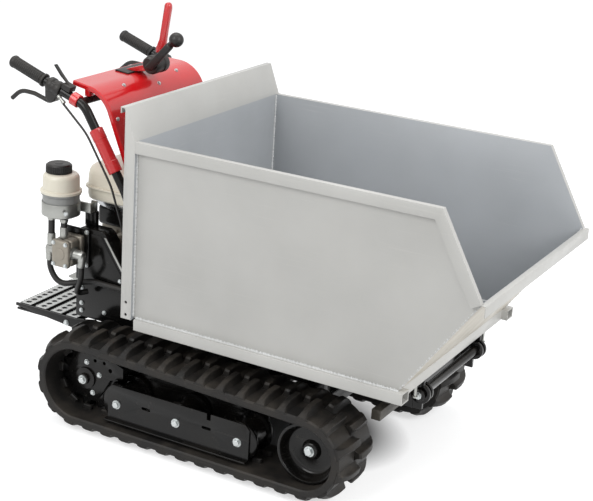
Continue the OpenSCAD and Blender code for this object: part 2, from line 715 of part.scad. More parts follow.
module track_frames() color(paint_black) placed() both_sides() {
    block([-110, -track_in - 45, 170], [idler_x - 96, -track_in - 5, 205]);
    plate(-track_y - 32, -track_y - 24) difference() {
        polygon([[-225, 150], [-190, 210], [-85, 210], [-44, 194], [-44, 165], [-85, 150], [-120, 90],
            [-190, 90]]);
        for (x = [-135, -105]) translate([x, 195]) circle(r = 5);
        translate([-85, 178]) circle(r = 6);
    }
    pin(sprocket_x, sprocket_z, -track_y - 40, -track_y - 32, 30);
    pin(sprocket_x, sprocket_z, -track_y - 50, -track_y - 40, 16);
    pin(sprocket_x, sprocket_z, -track_y - 24, -track_y - 16, 30);
    block([-62, -track_y - 32, 165], [-47, -track_in - 45, 190]);
    pin(idler_x, idler_z, -track_y + 60, -track_in - 5, 20);
    block([idler_x - 96, -track_in - 45 + 20, 108], [idler_x + 20, -track_in - 5, 150]);
    block([idler_x - 110, -track_in - 25, 120], [idler_x - 90, -track_in - 5, 172]);
}

module roller_guards() color(paint_black) placed() both_sides() {
    plate(-track_y - 52, -track_y - 47) difference() {
        polygon([[-76, 57], [362, 57], [362, 140], [350, 152], [-64, 152], [-76, 140]]);
        for (i = [0, 1]) translate([roller_first + (i + 0.5) * roller_pitch, 110])
            soft_rectangle([-14, -4], [14, 4], 3.9);
        translate([roller_first + 1.5 * roller_pitch, 134]) square([12, 20]);
    }
    block([-76, -track_y - 70, 52], [362, -track_y - 47, 57]);
    plate(-track_y + 47, -track_y + 52) polygon([[-76, 57], [362, 57], [362, 158], [350, 170], [-64, 170],
        [-76, 158]]);
    for (i = [0 : 2]) pin(roller_first + i * roller_pitch, roller_z, -track_y - 47, -track_y - 45, 16);
    for (i = [0 : 2]) pin(roller_first + i * roller_pitch, roller_z, -track_y + 45, -track_y + 47, 16);
}

skip_floor();
skip_side_right();
skip_side_left();
skip_rear_wall();
skip_rails();
skip_cross_tubes();
skip_hinge_lugs();
skip_eye_bracket();
cylinder_barrel();
cylinder_rod();
chassis_frame();
front_beam();
pivot_shaft();
cylinder_anchor();
engine_deck();
deck_side_plates();
belt_cover();
gearbox();
axle_housings();
engine_crankcase();
engine_cylinder();
engine_shroud();
fuel_tank();
muffler();
air_cleaner();
reservoir_top();
reservoir_base();
reservoir_cap();
reservoir_bracket();
gear_pump();
pump_fittings();
hydraulic_hoses();
platform_slats();
platform_sides();
handle_tubes();
handle_sleeves();
handle_grips();
clutch_levers();
throttle_lever();
console_cover();
lever_bracket();
drive_lever();
gear_lever();
control_cables();
track_right();
track_left();
sprockets();
idlers();
rollers();
track_frames();
roller_guards();
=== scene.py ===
"""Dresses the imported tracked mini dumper: sheet metal, rubber tracks, engine, hydraulics and controls."""
import math

import bmesh
import bpy
from bpy.props import FloatProperty, FloatVectorProperty, IntProperty, PointerProperty
from mathutils import Matrix, Vector


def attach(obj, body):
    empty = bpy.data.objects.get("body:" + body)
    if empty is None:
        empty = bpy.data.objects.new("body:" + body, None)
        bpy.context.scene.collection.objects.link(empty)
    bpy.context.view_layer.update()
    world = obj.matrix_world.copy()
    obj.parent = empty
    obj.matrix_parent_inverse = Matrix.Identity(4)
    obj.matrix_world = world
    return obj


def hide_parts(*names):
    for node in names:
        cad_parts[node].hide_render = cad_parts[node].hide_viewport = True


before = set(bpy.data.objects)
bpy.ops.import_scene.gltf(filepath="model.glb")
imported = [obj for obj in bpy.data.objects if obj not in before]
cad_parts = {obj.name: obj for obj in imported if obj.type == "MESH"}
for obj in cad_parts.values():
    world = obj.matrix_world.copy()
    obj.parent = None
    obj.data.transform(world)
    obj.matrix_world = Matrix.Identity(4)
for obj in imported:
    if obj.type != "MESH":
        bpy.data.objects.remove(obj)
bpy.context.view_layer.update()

bl_info = {
    "name": "Tracked mini dumper",
    "version": (1, 0, 0),
    "blender": (4, 5, 0),
    "location": "3D View > Sidebar > Dumper",
    "description": "Makes the finished pieces of a tracked mini dumper over its solid frame",
    "category": "Object",
}

# Places are in millimetres: x from the rear end of the skip's rails, y to the left, z up from the ground
ORIGIN_X = 222.0
RIGHT, LEFT, UP, DOWN = (0, -1, 0), (0, 1, 0), (0, 0, 1), (0, 0, -1)

# Tracks: the two wheels are given by x, z and radius, and the rollers by x and z
TRACK_Y = 305.0
SPROCKET = (-162.0, 140.0, 96.0)
IDLER = (530.0, 128.0, 84.0)
ROLLERS = [(-48 + 188 * i, 98) for i in range(3)]
BELT = 24.0
LUGS = 34
LUG_END = 89
HORN_Y = 23.5
HORN_DEPTH = 5
HORN_SIZE = (0.026, 0.011, 0.015)

# Skip: half widths of its welds, and the corner of its inside and the heart that the inside faces look at,
# which pick the faces that get the painted inside shade
INNER_WELD = 344.5
OUTER_WELD = 348.6
SKIP_CORNER = (-9.4, 346.4, 356.6)
SKIP_HEART = (380, 0, 620)
CHUTE_START = 752
PIVOT = (745, 285)

# Deck, engine and oil system: tank corners and cap by x and y, fan and pump by x and z
DECK_TOP = 358
TANK_LOW = (-306, -172)
TANK_HIGH = (-133, 138)
TANK_CAP = (-219.5, 33)
FAN = (-205, 450)
RESERVOIR = (-322, -248)
PUMP = (-290, 452)
UNION_Y = -268

# Driver's end: the right handle by its bends, the console's bend by x, z and radius
TREADS = [-485 + 54 * i for i in range(4)]
TREAD_TOP = 231.2
TREAD_EDGE = 17.5
HOLE_PITCH = 24
HOLE_RING = 10.5
GRIP_END = (-478, -250, 942)
BAR_BEND = (-248, -250, 863)
BAR_KNEE = (-108, -250, 645)
BAR_TURN = (-94, -230, 560)
BAR_FOOT = (-88, -190, 360)
GRIP_WAY = Vector(BAR_BEND) - Vector(GRIP_END)
CONSOLE_BEND = (-265.6, 815.9, 93)
LEVER_HUB = (-200, 940)


def tone(code):
    """A colour written as six hex digits, as linear light."""
    parts = [int(code[i:i + 2], 16) / 255 for i in (0, 2, 4)]
    return tuple(c / 12.92 if c < 0.04045 else ((c + 0.055) / 1.055) ** 2.4 for c in parts)


def colour_field(label, code, words):
    """A colour setting, with its default as six hex digits."""
    return FloatVectorProperty(name=label, description=words, subtype="COLOR", size=3, min=0, max=1,
                               default=tone(code))


class DumperColours(bpy.types.PropertyGroup):
    """Colours of the paints, plastics and rubbers"""
    silver_paint: colour_field("Skip paint", "b9b8b4", "Silver-grey paint on the skip and its rails")
    # Painted shade: the faces inside the skip get a darker, cooler grey than the same paint outside
    skip_inside_shade: colour_field("Skip inside", "a5a8ab", "Cooler grey on the inside of the skip")
    worn_steel: colour_field("Worn steel", "c1bbae", "Scuffed underside of the chute")
    # Painted highlight: the weld beads are a lighter grey than the skip's paint, so that they show as bright
    # lines
    weld_highlight: colour_field("Weld beads", "cfd0cf", "Brighter grey of the brushed weld beads")
    dusty_paint: colour_field("Dusty paint", "4f4b45", "Dust-grey on the beam between the tracks")
    black_paint: colour_field("Frame paint", "0a0a0a", "Black paint on the frame and the plates")
    red_paint: colour_field("Console paint", "c6151b", "Red paint on the console and the sleeves")
    track_rubber: colour_field("Track rubber", "1e1d1c", "Rubber of the tracks")
    hose_rubber: colour_field("Hose rubber", "121212", "Rubber of the hoses, cables and grips")
    black_plastic: colour_field("Black plastic", "141414", "Moulded caps, covers and levers")
    cream_plastic: colour_field("Cream plastic", "e2dccb", "Fuel tank and the reservoir's upper half")
    grey_plastic: colour_field("Grey plastic", "8e8f8d", "Reservoir's lower half")
    zinc: colour_field("Zinc", "a3a4a0", "Plated brackets and fittings")
    bolt_zinc: colour_field("Bolt zinc", "c4c8c8", "Brighter plating of the bolts")
    tread_zinc: colour_field("Tread zinc", "c9cac8", "Dull plating on the platform's treads")
    rod_chrome: colour_field("Chrome", "b6b8ba", "Piston rod and the silencer's guard")
    cast_alloy: colour_field("Cast alloy", "958f84", "Pump and engine castings")
    dust: colour_field("Dust", "8f8375", "Dry dust that settles on flat faces")


def length_field(label, default, low, high, words):
    """A length given in millimetres and kept in metres, as Blender keeps it."""
    return FloatProperty(name=label, description=words, unit="LENGTH", default=default / 1000, min=low / 1000,
                         max=high / 1000)


class DumperSizes(bpy.types.PropertyGroup):
    """Sizes of the dressing"""
    sheet_edge: length_field("Sheet edge", 1.25, 0.1, 1.4, "Rounding of the sheet metal's edges")
    tube_edge: length_field("Tube edge", 1.3, 0.1, 2.0, "Rounding of the square tubes' edges")
    plate_edge: length_field("Plate edge", 2.0, 0.2, 4.0, "Rounding of the frame's edges")
    weld_pitch: length_field("Weld pitch", 5.0, 3.0, 12.0, "Distance between two ripples of a weld")
    weld_width: length_field("Weld width", 4.2, 2.0, 8.0, "Half the width of a weld bead")
    lug_length: length_field("Lug length", 35.0, 20.0, 40.0, "Length of a lug along the belt, at its foot")
    lug_taper: length_field("Lug taper", 8.5, 0.0, 12.0, "How far a lug's flank draws in at its top")
    tube_bend: length_field("Tube bend", 70.0, 20.0, 120.0, "Bend radius of the handle tubes")
    hose_bend: length_field("Hose bend", 60.0, 20.0, 120.0, "Bend radius of the hoses")
    cable_bend: length_field("Cable bend", 120.0, 20.0, 200.0, "Bend radius of the control cables")
    grip_ribs: IntProperty(name="Grip ribs", description="Ribs along a grip", default=15, min=4, max=30)


def size(name):
    """One of the dressing's lengths, in millimetres."""
    return getattr(bpy.context.scene.dumper_sizes, name) * 1000


def at(x, y, z):
    """A point given in millimetres from the rear end of the skip's rails, in the frame's metres."""
    return Vector(((x - ORIGIN_X) / 1000, y / 1000, z / 1000))


def between(p, q, distance):
    """A point on the way from p to q, all in millimetres."""
    p, q = Vector(p), Vector(q)
    return tuple(p + (q - p).normalized() * distance)


def on_side(point, s):
    """A right-hand point as it is, or mirrored to the left where s is -1."""
    return point[0], point[1] * s, point[2]


def around(count):
    """Angles evenly spaced round a full turn."""
    return [2 * math.pi * i / count for i in range(count)]


# Finishes

def link(tree, source, target):
    """Joins an output of a node to an input of another."""
    tree.links.new(source, target)


def math_node(tree, kind, a, b):
    """A sum, product or the like of two values, each a number or an output."""
    n = tree.nodes.new("ShaderNodeMath")
    n.operation = kind
    n.use_clamp = kind == "MULTIPLY"
    for socket, value in zip(n.inputs, (a, b)):
        if isinstance(value, (int, float)):
            socket.default_value = value
        else:
            link(tree, value, socket)
    return n.outputs[0]


def ramp(tree, value, low, high, out_low=0.0, out_high=1.0):
    """A value spread from one range over another."""
    n = tree.nodes.new("ShaderNodeMapRange")
    link(tree, value, n.inputs["Value"])
    for label, number in (("From Min", low), ("From Max", high), ("To Min", out_low), ("To Max", out_high)):
        n.inputs[label].default_value = number
    return n.outputs[0]


def blend_colour(tree, factor, a, b):
    """A colour between two, each written out or an output."""
    n = tree.nodes.new("ShaderNodeMix")
    n.data_type = "RGBA"
    for socket, value in ((n.inputs[0], factor), (n.inputs[6], a), (n.inputs[7], b)):
        if isinstance(value, (int, float)):
            socket.default_value = value
        elif isinstance(value, tuple):
            socket.default_value = (*value, 1)
        else:
            link(tree, value, socket)
    return n.outputs[2]


def noise(tree, coords, scale, detail, stretch=None):
    """Soft noise, stretched along the axes where asked."""
    if stretch:
        m = tree.nodes.new("ShaderNodeMapping")
        m.inputs["Scale"].default_value = stretch
        link(tree, coords, m.inputs["Vector"])
        coords = m.outputs[0]
    n = tree.nodes.new("ShaderNodeTexNoise")
    n.inputs["Detail"].default_value = detail
    link(tree, coords, n.inputs["Vector"])
    if isinstance(scale, (int, float)):
        n.inputs["Scale"].default_value = scale
    else:
        link(tree, scale, n.inputs["Scale"])
    return n.outputs[0]


def weathered_group():
    """Colour drift, settled dust, chips, rub lines and grain of a surface that has been out on site."""
    tree = bpy.data.node_groups.get("weathered_surface")
    if tree:
        return tree
    tree = bpy.data.node_groups.new("weathered_surface", "ShaderNodeTree")
    for label, kind, value in (
        ("Colour", "NodeSocketColor", (0.5, 0.5, 0.5, 1)),
        ("Dust Colour", "NodeSocketColor", (0.3, 0.25, 0.2, 1)),
        ("Chip Colour", "NodeSocketColor", (0.4, 0.4, 0.4, 1)),
        ("Dust", "NodeSocketFloat", 0.2),
        ("Chips", "NodeSocketFloat", 0.2),
        ("Rubs", "NodeSocketFloat", 0.2),
        ("Grain Scale", "NodeSocketFloat", 400.0),
        ("Gloss Roughness", "NodeSocketFloat", 0.4),
    ):
        tree.interface.new_socket(name=label, in_out="INPUT", socket_type=kind).default_value = value
    for label, kind in (
        ("Colour", "NodeSocketColor"), ("Roughness", "NodeSocketFloat"), ("Height", "NodeSocketFloat"),
    ):
        tree.interface.new_socket(name=label, in_out="OUTPUT", socket_type=kind)
    given = tree.nodes.new("NodeGroupInput").outputs
    out = tree.nodes.new("NodeGroupOutput").inputs
    coords = tree.nodes.new("ShaderNodeTexCoord").outputs["Object"]
    geometry = tree.nodes.new("ShaderNodeNewGeometry")
    split = tree.nodes.new("ShaderNodeSeparateXYZ")
    link(tree, geometry.outputs["Normal"], split.inputs[0])
    upward = ramp(tree, split.outputs["Z"], -0.2, 1.0, 0.25, 1.0)
    drift = noise(tree, coords, 4.0, 6.0)
    cloud = noise(tree, coords, 13.0, 8.0)
    speck = noise(tree, coords, 70.0, 6.0)
    lines = noise(tree, coords, 1.0, 3.0, (5.0, 9.0, 260.0))
    grain = noise(tree, coords, given["Grain Scale"], 2.0)
    settled = math_node(tree, "MULTIPLY", ramp(tree, cloud, 0.38, 0.66), upward)
    dusty = math_node(tree, "MULTIPLY", settled, given["Dust"])
    chipped = math_node(tree, "MULTIPLY", ramp(tree, speck, 0.655, 0.69), given["Chips"])
    scraped = math_node(tree, "MULTIPLY", ramp(tree, lines, 0.6, 0.72), ramp(tree, drift, 0.42, 0.6))
    rubbed = math_node(tree, "MULTIPLY", scraped, given["Rubs"])
    shade = blend_colour(tree, ramp(tree, drift, 0.3, 0.7, 0.0, 0.12), given["Colour"], (0.0, 0.0, 0.0))
    shade = blend_colour(tree, dusty, shade, given["Dust Colour"])
    shade = blend_colour(tree, rubbed, shade, given["Chip Colour"])
    link(tree, blend_colour(tree, chipped, shade, given["Chip Colour"]), out["Colour"])
    rough = math_node(tree, "ADD", given["Gloss Roughness"], ramp(tree, cloud, 0.3, 0.7, -0.06, 0.08))
    rough = math_node(tree, "ADD", rough, math_node(tree, "MULTIPLY", dusty, 0.4))
    link(tree, math_node(tree, "ADD", rough, math_node(tree, "MULTIPLY", rubbed, 0.15)), out["Roughness"])
    height = math_node(tree, "SUBTRACT", grain, math_node(tree, "MULTIPLY", chipped, 0.6))
    link(tree, height, out["Height"])
    return tree


# Per finish: metal share, roughness, dust, chips, rubs, grain scale, bump depth in mm, coat, mirror level
FINISHES = {
    "silver_paint": (0.0, 0.37, 0.05, 0.0, 0.10, 520.0, 0.03, 0.10, 0.5),
    "worn_steel": (0.15, 0.42, 0.60, 0.55, 0.70, 420.0, 0.06, 0.0, 0.5),
    "black_paint": (0.0, 0.18, 0.03, 0.08, 0.05, 420.0, 0.02, 0.10, 0.22),
    "red_paint": (0.0, 0.20, 0.03, 0.03, 0.06, 300.0, 0.02, 0.60, 0.5),
    "track_rubber": (0.0, 0.46, 0.11, 0.12, 0.12, 240.0, 0.45, 0.0, 0.22),
    "hose_rubber": (0.0, 0.48, 0.08, 0.03, 0.06, 700.0, 0.12, 0.0, 0.4),
    "black_plastic": (0.0, 0.40, 0.08, 0.03, 0.06, 900.0, 0.06, 0.0, 0.4),
    "cream_plastic": (0.0, 0.34, 0.05, 0.04, 0.06, 600.0, 0.04, 0.10, 0.5),
    "grey_plastic": (0.0, 0.42, 0.08, 0.05, 0.08, 600.0, 0.05, 0.0, 0.5),
    "zinc": (0.85, 0.32, 0.08, 0.06, 0.20, 350.0, 0.05, 0.0, 0.5),
    "rod_chrome": (1.0, 0.12, 0.03, 0.02, 0.10, 300.0, 0.01, 0.0, 0.5),
    "cast_alloy": (0.60, 0.48, 0.15, 0.06, 0.05, 420.0, 0.22, 0.0, 0.5),
}
# Colour under a finish where it is chipped or rubbed
BARE = {
    "silver_paint": "d8d6d0",
    "worn_steel": "8b7f6f",
    "black_paint": "77736c",
    "red_paint": "8a8680",
    "track_rubber": "5c554d",
}
BARE_METAL = "9a968e"
BUMP_STRENGTH = 0.6
COAT_ROUGHNESS = 0.12


def finish(slot, shade=None):
    """The material of a slot, or of another shade of it, made when it is first asked for."""
    found = bpy.data.materials.get("dumper_" + (shade or slot))
    if found:
        return found
    colours = bpy.context.scene.dumper_colours
    metal, rough, dust, chips, rubs, grain, depth, coat, mirror = FINISHES[slot]
    material = bpy.data.materials.new("dumper_" + (shade or slot))
    material.use_nodes = True
    tree = material.node_tree
    shader = tree.nodes["Principled BSDF"]
    skin = tree.nodes.new("ShaderNodeGroup")
    skin.node_tree = weathered_group()
    values = {
        "Colour": (*getattr(colours, shade or slot), 1), "Dust Colour": (*colours.dust, 1),
        "Chip Colour": (*tone(BARE.get(slot, BARE_METAL)), 1), "Dust": dust, "Chips": chips, "Rubs": rubs,
        "Grain Scale": grain, "Gloss Roughness": rough,
    }
    for label, value in values.items():
        skin.inputs[label].default_value = value
    bump = tree.nodes.new("ShaderNodeBump")
    bump.inputs["Strength"].default_value = BUMP_STRENGTH
    bump.inputs["Distance"].default_value = depth / 1000
    link(tree, skin.outputs["Height"], bump.inputs["Height"])
    link(tree, bump.outputs[0], shader.inputs["Normal"])
    link(tree, skin.outputs["Colour"], shader.inputs["Base Color"])
    link(tree, skin.outputs["Roughness"], shader.inputs["Roughness"])
    shader.inputs["Metallic"].default_value = metal
    shader.inputs["Specular IOR Level"].default_value = mirror
    shader.inputs["Coat Weight"].default_value = coat
    shader.inputs["Coat Roughness"].default_value = COAT_ROUGHNESS
    return material


# Shapes

SAME_POINT = 1e-6
SAME_CORNER = 1.5e-4
FLAT_ANGLE = math.radians(0.8)
EDGE_ANGLE = math.radians(28)


def piece(name, bm, body, slot, *nodes, sharp=32):
    """Turns a shape into a finished piece that rides on a body and may stand for solids of the frame."""
    bmesh.ops.remove_doubles(bm, verts=bm.verts, dist=SAME_POINT)
    bmesh.ops.recalc_face_normals(bm, faces=bm.faces)
    mesh = bpy.data.meshes.new(name)
    bm.to_mesh(mesh)
    bm.free()
    if not mesh.polygons:
        raise RuntimeError(name + " has no faces")
    mesh.polygons.foreach_set("use_smooth", [True] * len(mesh.polygons))
    mesh.polygons.foreach_set("material_index", [0] * len(mesh.polygons))
    mesh.set_sharp_from_angle(angle=math.radians(sharp))
    mesh.materials.append(finish(slot))
    made = bpy.data.objects.new(name, mesh)
    bpy.context.scene.collection.objects.link(made)
    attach(made, body)
    if nodes:
        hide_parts(*nodes)
    return made


def add_mesh(bm, mesh):
    """Moves a mesh into a shape."""
    bm.from_mesh(mesh)
    bpy.data.meshes.remove(mesh)


def ease(bm, edges, width, steps):
    """Rounds edges by a width in metres."""
    bmesh.ops.bevel(bm, geom=edges, offset=width, offset_type="OFFSET", segments=steps, profile=0.5,
                    affect="EDGES", clamp_overlap=True)


def bridge(bm, ring, after):
    """Joins two closed rings of as many points, and gives back the new faces."""
    faces = []
    for i in range(len(ring)):
        j = (i + 1) % len(ring)
        faces.append(bm.faces.new([ring[i], ring[j], after[j], after[i]]))
    return faces


def cube_shape():
    """A cube of size one about zero."""
    bm = bmesh.new()
    bmesh.ops.create_cube(bm, size=1.0)
    return bm


def add_solid(bm, node, width, steps=2):
    """Adds a solid of the frame with its sharp edges broken."""
    part = bmesh.new()
    part.from_mesh(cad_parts[node].data)
    bmesh.ops.remove_doubles(part, verts=part.verts, dist=SAME_CORNER)
    bmesh.ops.dissolve_degenerate(part, dist=1e-5, edges=part.edges)
    bmesh.ops.dissolve_limit(part, angle_limit=FLAT_ANGLE, verts=part.verts, edges=part.edges)
    sharp = [e for e in part.edges if e.is_manifold and e.calc_face_angle(0.0) > EDGE_ANGLE]
    ease(part, sharp, width / 1000, steps)
    mesh = bpy.data.meshes.new("edge_work")
    part.to_mesh(mesh)
    part.free()
    add_mesh(bm, mesh)


def solid_piece(node, body, slot, width):
    """A solid of the frame as it is, with its edges broken by a width in millimetres."""
    bm = bmesh.new()
    add_solid(bm, node, width)
    return piece(node + "_finished", bm, body, slot, node)


def add_box(bm, low, high, r, steps):
    """A box with rounded edges, given by two corners."""
    lo, hi = at(*low), at(*high)
    made = bmesh.ops.create_cube(bm, size=1.0)["verts"]
    bmesh.ops.scale(bm, vec=hi - lo, verts=made)
    bmesh.ops.translate(bm, vec=(lo + hi) / 2, verts=made)
    ease(bm, list({e for v in made for e in v.link_edges}), r / 1000, steps)


def box_piece(name, slot, boxes, *nodes):
    """A chassis piece made of boxes, each given as add_box takes it."""
    bm = bmesh.new()
    for box in boxes:
        add_box(bm, *box)
    return piece(name, bm, "chassis", slot, *nodes)


def add_turned(bm, start, axis, profile, sides=48):
    """A turned shape: profile is a list of (distance along the axis, radius) in millimetres."""
    axis = Vector(axis).normalized()
    u = axis.orthogonal().normalized()
    v = axis.cross(u)
    base = at(*start)
    rings = []
    for along, radius in profile:
        middle = base + axis * along / 1000
        if radius < 0.01:
            rings.append([bm.verts.new(middle)])
        else:
            arms = (u * math.cos(a) + v * math.sin(a) for a in around(sides))
            rings.append([bm.verts.new(middle + arm * radius / 1000) for arm in arms])
    for a, b in zip(rings, rings[1:]):
        for i in range(sides):
            j = (i + 1) % sides
            corners = [a[i % len(a)], a[j % len(a)], b[j % len(b)], b[i % len(b)]]
            unique = list(dict.fromkeys(corners))
            if len(unique) > 2:
                bm.faces.new(unique)


def add_outline(bm, outline, low, high, r):
    """A side outline of (x, z) points pushed across from low to high, with its edges broken."""
    front = [bm.verts.new(at(x, low, z)) for x, z in outline]
    back = [bm.verts.new(at(x, high, z)) for x, z in outline]
    faces = [bm.faces.new(front), bm.faces.new(back[::-1]), *bridge(bm, front, back)]
    ease(bm, list({e for f in faces for e in f.edges}), r / 1000, 2)


def rounded_path(points, radius, steps=10):
    """A run through the points with its corners eased, as points in metres."""
    pts = [at(*p) for p in points]
    run = [pts[0]]
    for a, b, c in zip(pts, pts[1:], pts[2:]):
        u, v = a - b, c - b
        lu, lv = u.length, v.length
        u.normalize()
        v.normalize()
        cut = min(radius / 1000 / math.tan(u.angle(v) / 2), lu * 0.49, lv * 0.49)
        p, q = b + u * cut, b + v * cut
        for i in range(steps + 1):
            t = i / steps
            run.append(p * (1 - t) ** 2 + b * 2 * t * (1 - t) + q * t * t)
    run.append(pts[-1])
    return run


# Node trees

def new_tree(name, fields):
    """An empty tree with named inputs, its given values and its output."""
    tree = bpy.data.node_groups.new(name, "GeometryNodeTree")
    tree.interface.new_socket(name="Geometry", in_out="INPUT", socket_type="NodeSocketGeometry")
    for label, kind, value in fields:
        socket = tree.interface.new_socket(name=label, in_out="INPUT", socket_type=kind)
        if value is not None:
            socket.default_value = value
    tree.interface.new_socket(name="Geometry", in_out="OUTPUT", socket_type="NodeSocketGeometry")
    return tree, tree.nodes.new("NodeGroupInput").outputs, tree.nodes.new("NodeGroupOutput").inputs


def end_tree(tree, shape, given, out):
    """Makes the instances real and gives them their material."""
    real = tree.nodes.new("GeometryNodeRealizeInstances")
    paint = tree.nodes.new("GeometryNodeSetMaterial")
    link(tree, shape, real.inputs["Geometry"])
    link(tree, real.outputs["Geometry"], paint.inputs["Geometry"])
    link(tree, given["Material"], paint.inputs["Material"])
    link(tree, paint.outputs["Geometry"], out["Geometry"])
    return tree


def pipe_tree():
    """A round pipe along every path of its input."""
    found = bpy.data.node_groups.get("pipe_on_a_path")
    if found:
        return found
    tree, given, out = new_tree("pipe_on_a_path", (
        ("Radius", "NodeSocketFloat", 0.01), ("Sides", "NodeSocketInt", 20),
        ("Material", "NodeSocketMaterial", None)))
    path = tree.nodes.new("GeometryNodeMeshToCurve")
    ring = tree.nodes.new("GeometryNodeCurvePrimitiveCircle")
    skin = tree.nodes.new("GeometryNodeCurveToMesh")
    link(tree, given["Geometry"], path.inputs["Mesh"])
    link(tree, given["Sides"], ring.inputs["Resolution"])
    link(tree, given["Radius"], ring.inputs["Radius"])
    link(tree, path.outputs["Curve"], skin.inputs["Curve"])
    link(tree, ring.outputs["Curve"], skin.inputs["Profile Curve"])
    skin.inputs["Fill Caps"].default_value = True
    return end_tree(tree, skin.outputs["Mesh"], given, out)


def repeat_tree():
    """One shape set at every point of its input, turned and sized by the points' own values."""
    found = bpy.data.node_groups.get("shape_at_places")
    if found:
        return found
    tree, given, out = new_tree("shape_at_places", (
        ("Shape", "NodeSocketObject", None), ("Material", "NodeSocketMaterial", None)))
    shape = tree.nodes.new("GeometryNodeObjectInfo")
    spread = tree.nodes.new("GeometryNodeInstanceOnPoints")
    link(tree, given["Shape"], shape.inputs["Object"])
    link(tree, given["Geometry"], spread.inputs["Points"])
    link(tree, shape.outputs["Geometry"], spread.inputs["Instance"])
    for label, socket in (("turn", "Rotation"), ("size", "Scale")):
        value = tree.nodes.new("GeometryNodeInputNamedAttribute")
        value.data_type = "FLOAT_VECTOR"
        value.inputs["Name"].default_value = label
        link(tree, value.outputs["Attribute"], spread.inputs[socket])
    return end_tree(tree, spread.outputs["Instances"], given, out)


def bake(mesh, tree, values):
    """Runs a node tree on a mesh and gives back the plain result."""
    work = bpy.data.objects.new("tree_work", mesh)
    bpy.context.scene.collection.objects.link(work)
    modifier = work.modifiers.new("tree", "NODES")
    modifier.node_group = tree
    for item in tree.interface.items_tree:
        if item.item_type == "SOCKET" and item.in_out == "INPUT" and item.name in values:
            modifier[item.identifier] = values[item.name]
    graph = bpy.context.evaluated_depsgraph_get()
    result = bpy.data.meshes.new_from_object(work.evaluated_get(graph))
    work.modifiers.clear()
    bpy.data.objects.remove(work)
    bpy.data.meshes.remove(mesh)
    if not result.polygons:
        raise RuntimeError(tree.name + " made nothing")
    return result


def add_pipes(bm, runs, radius, slot, sides=20):
    """Round pipes along runs of points in metres."""
    verts, edges = [], []
    for run in runs:
        edges += [(len(verts) + i, len(verts) + i + 1) for i in range(len(run) - 1)]
        verts += run
    mesh = bpy.data.meshes.new("pipe_runs")
    mesh.from_pydata(verts, edges, [])
    add_mesh(bm, bake(mesh, pipe_tree(), {"Radius": radius / 1000, "Sides": sides, "Material": finish(slot)}))


def add_repeats(bm, shape, places, slot):
    """Sets a shape at places of (point in metres, turn as Euler angles, size)."""
    template = bpy.data.meshes.new("repeat_shape")
    shape.to_mesh(template)
    shape.free()
    holder = bpy.data.objects.new("repeat_shape", template)
    bpy.context.scene.collection.objects.link(holder)
    mesh = bpy.data.meshes.new("repeat_places")
    mesh.from_pydata([p for p, _, _ in places], [], [])
    for label, index in (("turn", 1), ("size", 2)):
        layer = mesh.attributes.new(label, "FLOAT_VECTOR", "POINT")
        layer.data.foreach_set("vector", [c for place in places for c in place[index]])
    add_mesh(bm, bake(mesh, repeat_tree(), {"Shape": holder, "Material": finish(slot)}))
    bpy.data.objects.remove(holder)
    bpy.data.meshes.remove(template)


def facing(direction):
    """The turn that points Z in a direction."""
    return Vector(direction).to_track_quat("Z", "Y").to_euler()


def hex_bolt():
    """A washer and a hexagon head of radius one, seated at zero and standing along Z."""
    bm = bmesh.new()
    washer = (-0.1, 0.16, 1.0, 0.94, 24)
    head = (0.16, 0.62, 0.72, 0.72, 6)
    crown = (0.62, 0.7, 0.72, 0.58, 6)
    for low, high, foot, top, count in (washer, head, crown):
        rings = []
        for z, r in ((low, foot), (high, top)):
            rings.append([bm.verts.new((r * math.cos(a), r * math.sin(a), z)) for a in around(count)])
        bridge(bm, *rings)
        bm.faces.new(rings[1])
        bm.faces.new(rings[0][::-1])
    return bm


def add_bolts(bm, places):
    """Adds bolts at places of (x, y, z, direction, radius in millimetres)."""
    spots = [(at(x, y, z), facing(d), (r / 1000,) * 3) for x, y, z, d, r in places]
    add_repeats(bm, hex_bolt(), spots, "zinc")


def bolts(name, places):
    """A chassis piece of bolts with their own bright plating."""
    bm = bmesh.new()
    add_bolts(bm, places)
    made = piece(name, bm, "chassis", "zinc")
    made.data.materials[0] = finish("zinc", "bolt_zinc")


def on_both(places):
    """Bolt places on the right side, with their mirror images."""
    return list(places) + [(x, -y, z, (d[0], -d[1], d[2]), r) for x, y, z, d, r in places]


# Skip and tipping gear

def weld_spots(p, q):
    """Ripples of a weld between two points in millimetres."""
    a, b = at(*p), at(*q)
    count = max(2, round((b - a).length * 1000 / size("weld_pitch")))
    turn = (b - a).to_track_quat("X", "Z").to_euler()
    w = size("weld_width") / 1000
    spots = []
    for i in range(count + 1):
        wobble = 1 + 0.18 * math.sin(i * 2.7) + 0.1 * math.sin(i * 0.9)
        spots.append((a.lerp(b, i / count), turn, (w * 1.1, w * wobble, w * 0.75 * wobble)))
    return spots


def paint_inside_shade(made):
    """Gives the faces that look into the skip a darker, cooler grey: painted shade for the inside."""
    made.data.materials.append(finish("silver_paint", "skip_inside_shade"))
    heart = at(*SKIP_HEART)
    corner = at(*SKIP_CORNER)
    for face in made.data.polygons:
        c = face.center
        enclosed = abs(c.y) < corner.y and c.z > corner.z and c.x > corner.x
        if enclosed and (heart - c).dot(face.normal) > 0:
            face.material_index = 1


def paint_worn(made):
    """Gives the chute's underside its scuffed shade."""
    made.data.materials.append(finish("worn_steel"))
    start = at(CHUTE_START, 0, 0).x
    for face in made.data.polygons:
        if face.normal.z < -0.3 and face.center.x > start:
            face.material_index = 2


def make_sheets():
    """Floor, sides and rear wall, whose inside faces get a darker, cooler grey as painted shade."""
    for node in ("skip_floor", "skip_side_right", "skip_side_left", "skip_rear_wall"):
        made = solid_piece(node, "skip", "silver_paint", size("sheet_edge"))
        paint_inside_shade(made)
        if node == "skip_floor":
            paint_worn(made)


